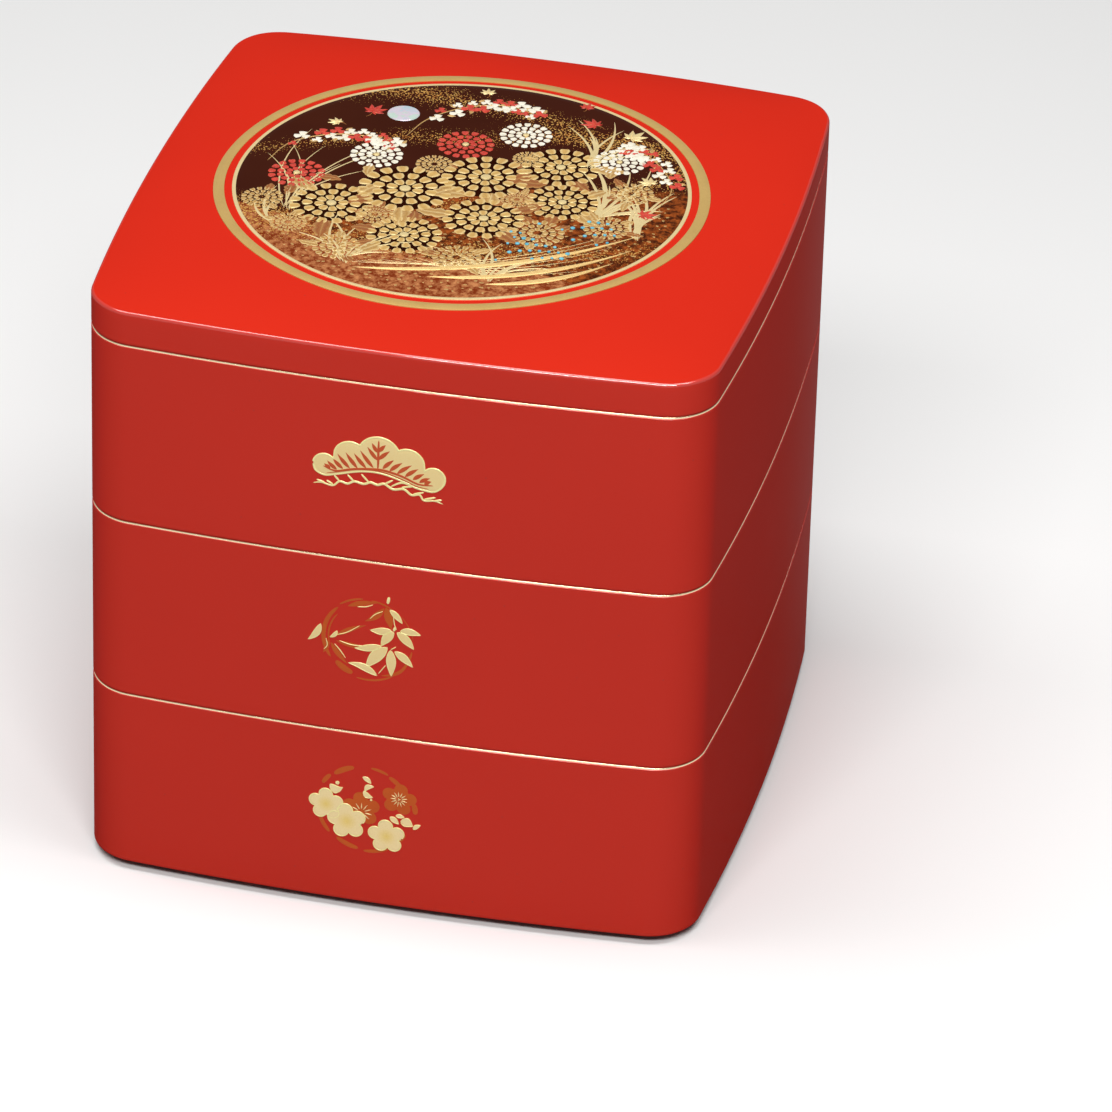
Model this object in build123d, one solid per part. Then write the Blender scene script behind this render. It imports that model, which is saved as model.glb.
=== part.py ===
from build123d import *
from itertools import combinations
from math import atan2, degrees, hypot, prod, sqrt
import os

# Stacking lacquer box: three tiers and a crowned lid. Millimetres, +Z up, -Y the decorated front.
# The origin is the middle of the surface that the box stands on.

# Outline seen from above: a square with bowed sides and round corners
box_width = 180.0        # across the middles of two opposite sides
side_bow = 4.1           # how far a side swells past the line through its corners
corner_radius = 15.0
least_corner = 2.0       # the tightest corner that an inner outline may keep

# Tiers, all three alike so that they swap places
tier_height = 55.0       # from the wall's lower edge to the top of the gold lip
wall_thickness = 4.5
rim_height = 0.5         # gold lip on the mouth of a tier
rim_edge_radius = 0.3
rim_step = 0.2           # how far the lip stands inside the wall's outer face
wall_edge_radius = 0.2   # round on the wall's outer edge beside the lip
lower_edge_radius = 0.8  # round on the outer lower edge of walls and lid
floor_thickness = 3.5
rebate_depth = 2.2       # the floor board is let this far into the wall
glue_gap = 0.1           # around the edge of the floor board
foot_height = 2.5        # frame under the floor, which nests in the mouth below
foot_width = 7.0
foot_edge_radius = 0.6
nest_clearance = 0.6     # between a foot or the lid's ring and the mouth around it

# Lid
lid_side_height = 10.0   # the upright edge of the lid
lid_board_thickness = 4.0
lid_crown = 4.5          # how far the middle of the lid stands above its edge
lid_edge_radius = 1.0
lid_ring_width = 3.0     # ring inside the lid, which drops into the upper tier

# Medallion on the lid: dark ground, thin gold line and gold band
ground_radius = 62.3
line_width = 1.1
red_gap = 2.1            # lacquer that shows between the line and the band
band_width = 3.1
film_thickness = 0.2     # ground, line and band
film_gap = 0.1           # between a sheet and what it lies on
motif_relief = 0.4       # raised flowers and water on the ground
pearl_relief = 0.3
pearl_radius = 4.6
medallion_shift = (-1.6, -1.3)   # from the lid's middle, as the photo shows it

# Crests on the front, one to a tier
crest_relief = 0.2
pine_span = 36.4
bamboo_span = 30.0
plum_span = 30.0
pine_shift = -2.4        # the crests sit a little left of the middle, as painted
bamboo_shift = -6.0
plum_shift = -4.8
pine_height = 28.9       # of each crest's middle above its wall's lower edge
bamboo_height = 30.4
plum_height = 30.2

overrun = 5.0            # how far cutting shapes run past what they cut

tier_names = ("lower", "middle", "upper")

# The crown is one smooth patch that is flat over the medallion and rolls off near the edge:
# its height falls with the sixth power of the share of the way out, and the patch bows with the sides
crown_power_shares = 6
patch_reach_share = 1.03


def outline(inset):
    """Bowed square that runs parallel to the box's own outline, this far inside it."""
    half_width = box_width / 2
    half_chord = half_width - side_bow
    side_radius = (half_chord**2 + side_bow**2) / (2 * side_bow)
    side_centre = side_radius - half_width
    corner = max(corner_radius - inset, least_corner)
    reach = side_radius - inset - corner
    corner_centre = (sqrt(2 * reach**2 - side_centre**2) - side_centre) / 2
    swing = degrees(atan2(corner_centre, corner_centre + side_centre))
    edges = []
    for quarter in range(4):
        turn = Rot(0, 0, 90 * quarter)
        edges.append(turn * CenterArc((0, side_centre), side_radius - inset, -90 - swing, 2 * swing))
        edges.append(turn * CenterArc((corner_centre, -corner_centre), corner, swing - 90, 90 - 2 * swing))
    return make_face(edges)


def board(inset, low, high):
    """Solid board between two heights, cut to the outline at that inset."""
    return Pos(0, 0, low) * extrude(outline(inset), high - low)


def frame(outer_inset, inner_inset, low, high):
    """Open frame between two insets and two heights."""
    return Pos(0, 0, low) * extrude(outline(outer_inset) - outline(inner_inset), high - low)


def rounded_below(solid, radius):
    return fillet(solid.edges().group_by(Axis.Z)[0], radius)


def rounded_above(solid, radius):
    return fillet(solid.edges().group_by(Axis.Z)[-1], radius)


# Tiers
foot_inset = wall_thickness + nest_clearance


def tier_base(number):
    """Height of the lower edge of a tier's wall, counted from the lowest tier."""
    return foot_height + number * tier_height


def tier_wall(base):
    rim_seat = base + tier_height - rim_height
    wall = rounded_below(board(0, base, rim_seat), lower_edge_radius)
    wall = rounded_above(wall, wall_edge_radius)
    wall -= board(wall_thickness, base - overrun, rim_seat + overrun)
    return wall - board(wall_thickness - rebate_depth, base - overrun, base + floor_thickness)


def tier_floor(base):
    return board(wall_thickness - rebate_depth + glue_gap, base, base + floor_thickness)


def tier_foot(base):
    foot = rounded_below(board(foot_inset, base - foot_height, base), foot_edge_radius)
    return foot - board(foot_inset + foot_width, base - foot_height - overrun, base + overrun)


def tier_rim(base):
    top = base + tier_height
    rim = rounded_above(board(rim_step, top - rim_height, top), rim_edge_radius)
    return rim - board(wall_thickness, top - rim_height - overrun, top + overrun)


# Lid
lid_base = tier_base(len(tier_names))
lid_seat = lid_base + lid_side_height - lid_board_thickness
lid_edge = lid_base + lid_side_height


def power_weight(power, index):
    """Bezier control value of t to a power, at one index, for t from minus to plus the patch's reach."""
    signs = [-1] * (crown_power_shares - index) + [1] * index
    chosen = list(combinations(signs, power))
    return patch_reach_share**power * sum(prod(c) for c in chosen) / len(chosen)


def crown_patch(lift):
    """The lid's upper surface, raised by a lift, as one Bezier patch with bowed sides."""
    ones, firsts, squares, tops = (
        [power_weight(power, index) for index in range(crown_power_shares + 1)]
        for power in (0, 1, 2, crown_power_shares)
    )
    half_width = box_width / 2
    grid = []
    for i in range(crown_power_shares + 1):
        row = []
        for j in range(crown_power_shares + 1):
            x = half_width * firsts[i] - side_bow * firsts[i] * squares[j]
            y = half_width * firsts[j] - side_bow * firsts[j] * squares[i]
            z = lid_crown * (ones[i] - tops[i]) * (ones[j] - tops[j])
            row.append((x, y, lid_edge + lift + z))
        grid.append(row)
    return Face.make_bezier_surface(grid)


def lid_board():
    blank = board(0, lid_seat, lid_edge + lid_crown + overrun)
    under_crown = Solid.extrude(crown_patch(0), Vector(0, 0, -(lid_crown + lid_side_height)))
    crowned = blank & under_crown
    upper_edges = crowned.faces().sort_by(Axis.Z)[-1].edges()
    return fillet(upper_edges, lid_edge_radius)


def lid_skirt():
    skirt = rounded_below(board(0, lid_base, lid_seat), lower_edge_radius)
    return skirt - board(wall_thickness, lid_base - overrun, lid_seat + overrun)


def lid_ring():
    ring = rounded_below(board(foot_inset, lid_base - foot_height, lid_seat), foot_edge_radius)
    hollow = board(foot_inset + lid_ring_width, lid_base - foot_height - overrun, lid_seat + overrun)
    return ring - hollow


# Medallion
line_radius = ground_radius + line_width
band_inner_radius = line_radius + red_gap
band_radius = band_inner_radius + band_width


def on_crown(shape, lift, thickness):
    """A flat shape about the medallion's middle, laid on the crown as a sheet of even thickness."""
    seat = lift + film_gap
    prism = Pos(*medallion_shift, lid_edge - overrun) * extrude(shape, lid_crown + 2 * overrun)
    return prism & Solid.extrude(crown_patch(seat), Vector(0, 0, thickness))


def blade(start, end, low, high):
    """Leaf or crescent between two points, bounded by arcs that bulge by low and high to the left."""
    run_x, run_y = end[0] - start[0], end[1] - start[1]
    run = hypot(run_x, run_y)
    middle_x, middle_y = (start[0] + end[0]) / 2, (start[1] + end[1]) / 2
    arcs = []
    for bulge in (low, high):
        via = (middle_x - run_y / run * bulge, middle_y + run_x / run * bulge)
        arcs.append(ThreePointArc(start, via, end))
    return make_face(arcs)


def blossom(middle, radius, petals, notch_share, turn=90):
    """Flower seen from the front: petals as arcs between points on a circle of notches."""
    points = []
    for step in range(2 * petals + 1):
        spread = radius if step % 2 else radius * notch_share
        points.append(Vector(spread, 0).rotate(Axis.Z, turn + (step - 1) * 180 / petals))
    arcs = [
        ThreePointArc(points[step], points[step + 1], points[step + 2])
        for step in range(0, 2 * petals, 2)
    ]
    return Pos(*middle) * make_face(arcs)


motif_seat = film_gap + film_thickness

# Chrysanthemums: place and radius as shares of the ground's radius
chrysanthemum_shares = (
    (-0.52, -0.30, 0.190), (-0.24, -0.08, 0.215), (0.08, 0.12, 0.200), (0.38, 0.30, 0.180),
    (-0.14, -0.50, 0.170), (0.16, -0.26, 0.185), (0.46, -0.02, 0.165), (0.62, 0.42, 0.120),
    (-0.74, -0.06, 0.130), (-0.44, 0.20, 0.120), (-0.08, 0.40, 0.130), (0.16, 0.56, 0.120),
)
chrysanthemum_petals = 16
chrysanthemum_notch_share = 0.9

# Stream: ends and two bulges of each run of water, as shares of the ground's radius
stream_shares = (
    (-0.30, -0.84, 0.88, -0.20, -0.150, -0.115),
    (0.04, -0.84, 0.86, -0.36, -0.110, -0.075),
    (0.30, -0.84, 0.80, -0.50, -0.075, -0.040),
)
pearl_place_shares = (-0.42, 0.62)


def medallion_ground():
    return on_crown(Circle(ground_radius), 0, film_thickness)


def medallion_line():
    return on_crown(Circle(line_radius) - Circle(ground_radius), 0, film_thickness)


def medallion_band():
    return on_crown(Circle(band_radius) - Circle(band_inner_radius), 0, film_thickness)


def medallion_flowers():
    cluster = Sketch()
    for x, y, radius in chrysanthemum_shares:
        place = (x * ground_radius, y * ground_radius)
        cluster += blossom(place, radius * ground_radius, chrysanthemum_petals, chrysanthemum_notch_share)
    return on_crown(cluster, motif_seat, motif_relief)


def medallion_stream():
    runs = []
    for x0, y0, x1, y1, low, high in stream_shares:
        ends = (x0 * ground_radius, y0 * ground_radius), (x1 * ground_radius, y1 * ground_radius)
        water = blade(*ends, low * ground_radius, high * ground_radius)
        runs.append(on_crown(water, motif_seat, motif_relief))
    return runs


def pearl_moon():
    place = [share * ground_radius for share in pearl_place_shares]
    return on_crown(Pos(*place) * Circle(pearl_radius), motif_seat, pearl_relief)


# Crests: flat shapes in X and Z, as shares of a crest's span, laid on the bowed front
pine_lobe_shares = (
    (0.0, 0.115, 0.162), (-0.217, 0.080, 0.126), (0.217, 0.080, 0.126),
    (-0.415, -0.014, 0.088), (0.415, -0.014, 0.088),
)
pine_fill_shares = (
    (-0.415, -0.095), (-0.415, 0.0), (-0.217, 0.1), (0.0, 0.13),
    (0.217, 0.1), (0.415, 0.0), (0.415, -0.095), (0.0, -0.06),
)
pine_under_radius_share = 1.0
pine_under_top_share = -0.022
pine_twig_shares = (-0.49, -0.195, 0.49, -0.195, 0.060, 0.085)
bamboo_leaf_shares = (
    (0.263, 0.127, 0.057, 0.103, 0.067), (0.283, 0.120, 0.163, -0.053, 0.080),
    (0.310, 0.120, 0.473, -0.043, 0.077), (0.337, 0.133, 0.520, 0.117, 0.063),
    (0.240, 0.347, 0.363, 0.213, 0.050), (0.173, -0.050, -0.090, -0.110, 0.063),
    (0.227, -0.053, 0.020, -0.310, 0.107), (0.253, -0.077, 0.263, -0.363, 0.083),
    (0.290, -0.087, 0.467, -0.233, 0.070), (0.133, -0.373, -0.147, -0.277, 0.063),
    (-0.403, 0.097, -0.527, -0.093, 0.053),
)
plum_blossom_shares = (
    (-0.373, 0.013, 0.163, 90), (-0.187, -0.130, 0.183, 97), (0.203, -0.247, 0.175, 95),
)
plum_petals = 5
plum_notch_share = 0.55


def on_front(shape, shift, height):
    """A flat shape in X and Z laid on the bowed front as a sheet of even thickness."""
    flat = box_width / 2 - side_bow
    front = Pos(shift, 0, height) * (Plane.XZ.offset(flat) * shape)
    prism = extrude(front, side_bow + overrun)
    skin = frame(-crest_relief, 0, height - tier_height / 2, height + tier_height / 2)
    return prism & skin


def pine_crest():
    cloud = make_face(Polyline([(x * pine_span, z * pine_span) for x, z in pine_fill_shares], close=True))
    for x, z, radius in pine_lobe_shares:
        cloud += Pos(x * pine_span, z * pine_span) * Circle(radius * pine_span)
    under = pine_under_radius_share * pine_span
    cloud -= Pos(0, pine_under_top_share * pine_span - under) * Circle(under)
    x0, z0, x1, z1, low, high = (share * pine_span for share in pine_twig_shares)
    height = tier_base(2) + pine_height
    twig = blade((x0, z0), (x1, z1), low, high)
    return [on_front(shape, pine_shift, height) for shape in (cloud, twig)]


def bamboo_crest():
    height = tier_base(1) + bamboo_height
    leaves = []
    for shares in bamboo_leaf_shares:
        x0, z0, x1, z1, width = (share * bamboo_span for share in shares)
        leaves.append(on_front(blade((x0, z0), (x1, z1), -width / 2, width / 2), bamboo_shift, height))
    return leaves


def plum_crest():
    cluster = Sketch()
    for x, z, radius, turn in plum_blossom_shares:
        place = (x * plum_span, z * plum_span)
        cluster += blossom(place, radius * plum_span, plum_petals, plum_notch_share, turn)
    return on_front(cluster, plum_shift, tier_base(0) + plum_height)


def solids_of(shapes):
    """All the separate solids in a shape or a list of shapes."""
    listed = shapes if isinstance(shapes, list) else [shapes]
    return [solid for shape in listed for solid in shape.solids()]


# Every piece under the name it is filed by
pieces = {}
for number, name in enumerate(tier_names):
    base = tier_base(number)
    pieces[f"{name}_wall"] = tier_wall(base)
    pieces[f"{name}_floor"] = tier_floor(base)
    pieces[f"{name}_foot"] = tier_foot(base)
    pieces[f"{name}_rim"] = tier_rim(base)
pieces["lid_board"] = lid_board()
pieces["lid_skirt"] = lid_skirt()
pieces["lid_ring"] = lid_ring()
pieces["medallion_ground"] = medallion_ground()
pieces["medallion_line"] = medallion_line()
pieces["medallion_band"] = medallion_band()
pieces["medallion_flowers"] = medallion_flowers()
pieces["medallion_stream"] = medallion_stream()
pieces["pearl_moon"] = pearl_moon()
pieces["pine_crest"] = pine_crest()
pieces["bamboo_crest"] = bamboo_crest()
pieces["plum_crest"] = plum_crest()

os.makedirs("parts", exist_ok=True)
for name, shapes in pieces.items():
    solids = solids_of(shapes)
    whole = solids[0] if len(solids) == 1 else Compound(children=solids)
    export_step(whole, f"parts/{name}.step")
    print(name, len(solids), round(sum(solid.volume for solid in solids), 1))
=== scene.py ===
# %% [markdown]
# # A stacking lacquer box, dressed for the picture
# The CAD model gives the frame: three tiers and a lid, each on its own body. This lesson puts the lacquer,
# the gold and the raised pictures on it. Everything is worked out in millimetres and handed to Blender in
# metres, in the CAD's own place, so nothing has to be moved afterwards.

# %% Load the frame
from math import atan2, cos, pi, radians, sin, sqrt

import bmesh
import bpy
import numpy as np
from mathutils import Matrix, Vector


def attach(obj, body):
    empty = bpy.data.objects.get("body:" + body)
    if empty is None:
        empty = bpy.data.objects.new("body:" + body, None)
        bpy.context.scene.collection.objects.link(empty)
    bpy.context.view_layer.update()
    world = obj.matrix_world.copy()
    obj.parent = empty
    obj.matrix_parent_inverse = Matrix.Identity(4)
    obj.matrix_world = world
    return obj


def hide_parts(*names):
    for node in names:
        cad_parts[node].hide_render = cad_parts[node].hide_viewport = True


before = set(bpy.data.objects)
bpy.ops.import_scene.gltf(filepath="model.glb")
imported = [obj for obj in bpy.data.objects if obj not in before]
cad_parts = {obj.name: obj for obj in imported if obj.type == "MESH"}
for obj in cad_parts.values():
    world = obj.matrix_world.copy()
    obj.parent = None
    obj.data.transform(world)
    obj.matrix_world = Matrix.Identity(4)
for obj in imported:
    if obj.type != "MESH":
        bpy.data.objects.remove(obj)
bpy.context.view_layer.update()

millimetre = 0.001
tiers = ("lower", "middle", "upper")
golden_angle = pi * (3 - sqrt(5))

# %% [markdown]
# ## The box's own sizes
# The lacquer follows the solids, so the sizes are the ones that the solids were made from. They stand here
# once, and every surface below is worked out from them.

# %% Sizes in millimetres
half_width = 90.0
side_bow = 4.1
corner_radius = 15.0
least_corner = 2.0
wall_thickness = 4.5
tier_height = 55.0
foot_height = 2.5
foot_width = 7.0
foot_inset = 5.1
rim_height = 0.5
rim_edge_radius = 0.3
rim_step = 0.2
wall_edge_radius = 0.2
floor_thickness = 3.5
rebate_inset = 2.3
lid_side_height = 10.0
lid_board_thickness = 4.0
lid_ring_width = 3.0
lid_crown = 4.5
lid_edge_radius = 1.0
lower_edge_radius = 0.8
lid_base = foot_height + 3 * tier_height
lid_edge = lid_base + lid_side_height
lid_seat = lid_edge - lid_board_thickness
print("the lid's edge stands at", lid_edge, "mm and its crown at", lid_edge + lid_crown, "mm")

# %% [markdown]
# ## The camera
# The picture was taken with a long lens from a little to the right and about thirty degrees above. The turn,
# tilt and distance were found by laying the box's edges over the photograph. The camera looks along the
# middle of the frame, so the point that it is aimed at is worked back from where it falls in the picture.

# %% Camera
picture_size = 1112
camera_turn = 0.212139
camera_tilt = 0.532475
camera_roll = 0.028569
focal_pixels = 7949.0
camera_distance = 2238.6
aim_height = 88.0 + foot_height
aim_pixel = (462.6, 474.42)
sensor_width = 36.0

back = Vector((sin(camera_turn) * cos(camera_tilt), -cos(camera_turn) * cos(camera_tilt), sin(camera_tilt)))
level = Vector((cos(camera_turn), sin(camera_turn), 0))
upright = back.cross(level)
right = cos(camera_roll) * level + sin(camera_roll) * upright
up = cos(camera_roll) * upright - sin(camera_roll) * level
per_pixel = camera_distance / focal_pixels
middle = picture_size / 2
place = Vector((0, 0, aim_height)) + back * camera_distance
place -= right * ((aim_pixel[0] - middle) * per_pixel) + up * ((middle - aim_pixel[1]) * per_pixel)

camera_data = bpy.data.cameras.new("camera")
camera_data.sensor_width = sensor_width
camera_data.lens = focal_pixels / picture_size * sensor_width
camera_data.clip_end = 20
camera = bpy.data.objects.new("camera", camera_data)
camera.matrix_world = Matrix.Translation(place * millimetre) @ Matrix((right, up, back)).transposed().to_4x4()
bpy.context.scene.collection.objects.link(camera)
bpy.context.scene.camera = camera
bpy.context.scene.view_settings.view_transform = "Standard"
print("camera at", [round(c, 3) for c in camera.location], "lens", round(camera_data.lens, 1))

# %% [markdown]
# ## Grids of points
# Every piece below is a sheet of points in rows and columns. A direction that closes on itself, such as the
# way round the box, joins its last line to its first. Points that fall together, at a leaf's tip or in the
# middle of the lid, are welded, so a solid has no hole there.

# %% From grids to pieces
def grid_faces(rows, columns, round_rows=False, round_columns=False):
    """Four-cornered faces between neighbours in a grid of points that is listed row by row."""
    row = np.arange(rows if round_rows else rows - 1)
    column = np.arange(columns if round_columns else columns - 1)
    row, column = (side.ravel() for side in np.meshgrid(row, column, indexing="ij"))
    next_row, next_column = (row + 1) % rows, (column + 1) % columns
    corners = ((row, column), (row, next_column), (next_row, next_column), (next_row, column))
    return np.stack([r * columns + c for r, c in corners], axis=1)


sharp_from = 40


def make_piece(name, sheets, body, finish):
    """One piece from several sheets. Each sheet has points, faces and, where the finish needs it, how near
    each point is to an edge."""
    points, faces, nearness, count = [], [], [], 0
    for sheet_points, sheet_faces, *sheet_edge in sheets:
        points.append(sheet_points.reshape(-1, 3))
        faces.append(sheet_faces + count)
        count += len(points[-1])
        nearness.append(sheet_edge[0].ravel() if sheet_edge else np.zeros(len(points[-1])))
    mesh = bpy.data.meshes.new(name)
    mesh.from_pydata((np.concatenate(points) * millimetre).tolist(), [], np.concatenate(faces).tolist())
    edge = mesh.attributes.new("edge", "FLOAT", "POINT")
    edge.data.foreach_set("value", np.concatenate(nearness).astype(np.float32))
    weld(mesh)
    mesh.shade_smooth()
    mesh.set_sharp_from_angle(angle=radians(sharp_from))
    mesh.materials.append(finish)
    piece = bpy.data.objects.new(name, mesh)
    bpy.context.scene.collection.objects.link(piece)
    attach(piece, body)
    print(f"{name}: {len(mesh.polygons)} faces")
    return piece


def weld(mesh):
    """Joins points that fall together and turns every shell's faces outwards."""
    work = bmesh.new()
    work.from_mesh(mesh)
    bmesh.ops.remove_doubles(work, verts=work.verts, dist=1e-7)
    bmesh.ops.dissolve_degenerate(work, edges=work.edges, dist=1e-8)
    bmesh.ops.recalc_face_normals(work, faces=work.faces)
    work.to_mesh(mesh)
    work.free()


# %% [markdown]
# ## Shader sums as plain expressions
# A finish mixes noise, masks and colours. Written as node calls that is hard to read, so a small class
# wraps a socket and lets it be added and multiplied like a number. Each sum adds one Math node.

# %% A socket that can be reckoned with
class Wire:
    """One output of a node, with the operators that the finishes use."""

    def __init__(self, finish, socket):
        self.finish, self.socket = finish, socket

    def _sum(self, operation, first, second=None, clamp=False):
        """One Math node."""
        values = {0: first} if second is None else {0: first, 1: second}
        settings = {"operation": operation, "use_clamp": clamp}
        return self.finish.node("ShaderNodeMath", settings, values)

    def __add__(self, other): return self._sum("ADD", self, other)
    def __sub__(self, other): return self._sum("SUBTRACT", self, other)
    def __mul__(self, other): return self._sum("MULTIPLY", self, other)
    def __truediv__(self, other): return self._sum("DIVIDE", self, other)
    def __radd__(self, other): return self._sum("ADD", other, self)
    def __rsub__(self, other): return self._sum("SUBTRACT", other, self)
    def __rmul__(self, other): return self._sum("MULTIPLY", other, self)
    def __gt__(self, other): return self._sum("GREATER_THAN", self, other)
    def __lt__(self, other): return self._sum("LESS_THAN", self, other)
    def clamped(self): return self._sum("ADD", self, 0.0, clamp=True)
    def size(self): return self._sum("ABSOLUTE", self)

# %% A material that is built from them
class Finish:
    """A material with a Principled shader, and one method that adds any other node."""

    def __init__(self, name, **shader_values):
        self.material = bpy.data.materials.new(name)
        self.material.use_nodes = True
        self.tree = self.material.node_tree
        self.shader = self.tree.nodes["Principled BSDF"]
        for socket, value in shader_values.items():
            self.shader.inputs[socket.replace("_", " ")].default_value = value

    def node(self, kind, settings=None, values=None, output=0):
        """Adds a node: its settings first, then the numbers or links of its sockets."""
        node = self.tree.nodes.new(kind)
        for key, value in (settings or {}).items():
            setattr(node, key, value)
        for key, value in (values or {}).items():
            self.join(node.inputs[key], value)
        return Wire(self, node.outputs[output])

    def join(self, socket, value):
        """Links a wire to a socket, or sets a plain value on it."""
        if isinstance(value, Wire):
            self.tree.links.new(value.socket, socket)
        else:
            socket.default_value = value

    def feed(self, **wires):
        """Links wires to the shader's own sockets."""
        for socket, wire in wires.items():
            self.join(self.shader.inputs[socket.replace("_", " ")], wire)

    def place(self):
        """Where a point lies in the model, in metres."""
        return self.node("ShaderNodeTexCoord", output="Object")

    def noise(self, scale, detail=2.0, roughness=0.5):
        """Soft cloudy noise between 0 and 1."""
        values = {"Vector": self.place(), "Scale": scale, "Detail": detail, "Roughness": roughness}
        return self.node("ShaderNodeTexNoise", values=values)

    def blend(self, share, first, second):
        """A colour between two others."""
        values = {0: share, 6: first, 7: second}
        return self.node("ShaderNodeMix", {"data_type": "RGBA"}, values, output=2)

    def bump(self, height, distance, strength=1.0):
        """A change of the surface's direction, from a height."""
        values = {"Height": height, "Distance": distance, "Strength": strength}
        return self.node("ShaderNodeBump", values=values)


def colour(red, green, blue):
    """A colour in linear light."""
    return (red, green, blue, 1.0)


# %% [markdown]
# ## Vermilion lacquer
# The outside is many thin coats of vermilion lacquer, rubbed down and polished. It is a clear strong red
# with a soft shine. Real lacquer is never quite even: the shine changes a little from place to place, the
# surface has the faintest waviness, and a few dust specks stay under the last coat.

# %% Vermilion and black lacquer
vermilion_deep = colour(0.620, 0.0210, 0.0075)
vermilion_clear = colour(0.690, 0.0240, 0.0085)
speck_colour = colour(0.48, 0.03, 0.02)
edge_tint = colour(0.45, 0.06, 0.04)
wave_scale, wave_relief = 120.0, 0.00002


def lacquer(name, deep, clear, speck, shine, coat=0.10):
    """Two tones of lacquer with buried specks under a clear coat that thins out where it is seen edge on."""
    finish = Finish(name, Specular_IOR_Level=0.0, Coat_IOR=2.2, Coat_Roughness=0.04, Metallic=0.12,
                    Specular_Tint=edge_tint)
    depth = finish.noise(14.0, 3.0)
    edge_on = finish.node("ShaderNodeLayerWeight", values={"Blend": 0.5}, output=1)
    body = finish.blend(depth, deep, clear)
    cells = finish.node("ShaderNodeTexVoronoi", values={"Vector": finish.place(), "Scale": 130.0})
    specks = cells < 0.035
    rub = finish.noise(900.0, 2.0)
    wave = finish.noise(wave_scale, 1.0)
    finish.feed(
        Base_Color=finish.blend(specks * 0.6, body, speck),
        Roughness=shine + 0.05 * rub + 0.04 * depth,
        Coat_Weight=(coat - 0.8 * coat * edge_on).clamped(),
        Normal=finish.bump(wave + 0.04 * rub, wave_relief, 0.5),
    )
    return finish.material


vermilion_lacquer = lacquer("vermilion_lacquer", vermilion_deep, vermilion_clear, speck_colour, 0.10)
polished_vermilion = lacquer("polished_vermilion", vermilion_deep, vermilion_clear, speck_colour, 0.10,
                             coat=0.85)
black_deep, black_clear = colour(0.006, 0.005, 0.005), colour(0.012, 0.010, 0.009)
black_lacquer = lacquer("black_lacquer", black_deep, black_clear, colour(0.03, 0.025, 0.02), 0.12)
print("lacquers:", [coat.name for coat in (vermilion_lacquer, polished_vermilion, black_lacquer)])

# %% [markdown]
# ## Gold
# The rims and the ring are gold paint, the crests and flowers are sprinkled gold powder on raised lacquer.
# Powder is grain: each grain has its own tone and tilt. Fine noise in colour, roughness and bump gives
# that, and a slower noise gives the patches where more or less powder was sprinkled.

# %% Gold paint and gold powder
grain_scale = 2600.0
grain_relief = 0.00003


def gold(name, deep, bright, roughness, metallic, edge_highlight_colour=None, coat=0.0):
    """Gold from two tones of grain. Given an edge colour, each shape turns to it towards its own edge: a
    painted highlight along the raised rims.
    """
    finish = Finish(name, Metallic=metallic, Specular_IOR_Level=0.4, Coat_Weight=coat, Coat_Roughness=0.12)
    powder = finish.noise(grain_scale, 3.0, 0.7)
    patches = finish.noise(160.0, 2.0)
    tone = (0.9 * powder + 0.5 * patches - 0.2).clamped()
    body = finish.blend(tone, deep, bright)
    if edge_highlight_colour:
        edge = finish.node("ShaderNodeAttribute", {"attribute_name": "edge"}, output="Fac")
        body = finish.blend((edge * (0.25 + 0.7 * powder)).clamped(), body, edge_highlight_colour)
    finish.feed(
        Base_Color=body,
        Roughness=roughness - 0.12 + 0.24 * powder,
        Normal=finish.bump(powder, grain_relief, 0.6),
    )
    return finish.material


rim_gold = gold("rim_gold", colour(0.78, 0.60, 0.34), colour(1.0, 0.86, 0.58), 0.18, 0.95)
ring_gold = gold("ring_gold", colour(0.48, 0.30, 0.080), colour(0.68, 0.45, 0.150), 0.45, 0.35)
crest_gold = gold("crest_gold", colour(0.98, 0.69, 0.27), colour(1.0, 0.84, 0.42), 0.42, 0.12)
crest_bright_gold = gold("crest_bright_gold", colour(1.0, 0.86, 0.28), colour(1.0, 0.95, 0.48), 0.30, 0.15,
                         coat=0.8)
# Paler golds for the edges of raised shapes: painted highlights on their rims
pale_edge_highlight, dull_edge_highlight = colour(1.0, 0.80, 0.40), colour(0.62, 0.36, 0.11)
small_gold = gold("small_gold", colour(0.30, 0.125, 0.024), colour(0.70, 0.41, 0.11), 0.42, 0.30, pale_edge_highlight)
relief_gold = gold("relief_gold", colour(0.46, 0.245, 0.052), colour(0.84, 0.54, 0.17), 0.42, 0.30, pale_edge_highlight)
bright_gold = gold("bright_gold", colour(0.70, 0.52, 0.22), colour(0.95, 0.78, 0.42), 0.38, 0.4, pale_edge_highlight)
bronze_gold = gold("bronze_gold", colour(0.22, 0.050, 0.010), colour(0.42, 0.13, 0.024), 0.45, 0.30,
                   dull_edge_highlight)
faint_gold = gold("faint_gold", colour(0.44, 0.058, 0.006), colour(0.58, 0.12, 0.012), 0.50, 0.55)
print("golds:", [finish.name for finish in bpy.data.materials if "gold" in finish.name])

# %% [markdown]
# ## The outline of the box
# Seen from above the box is a square whose sides swell out in flat arcs and whose corners are round. A
# surface that stands further in runs parallel to that outline, so one function with an inset serves all.

# %% Outline and rings
side_steps, corner_steps = 28, 22


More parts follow.
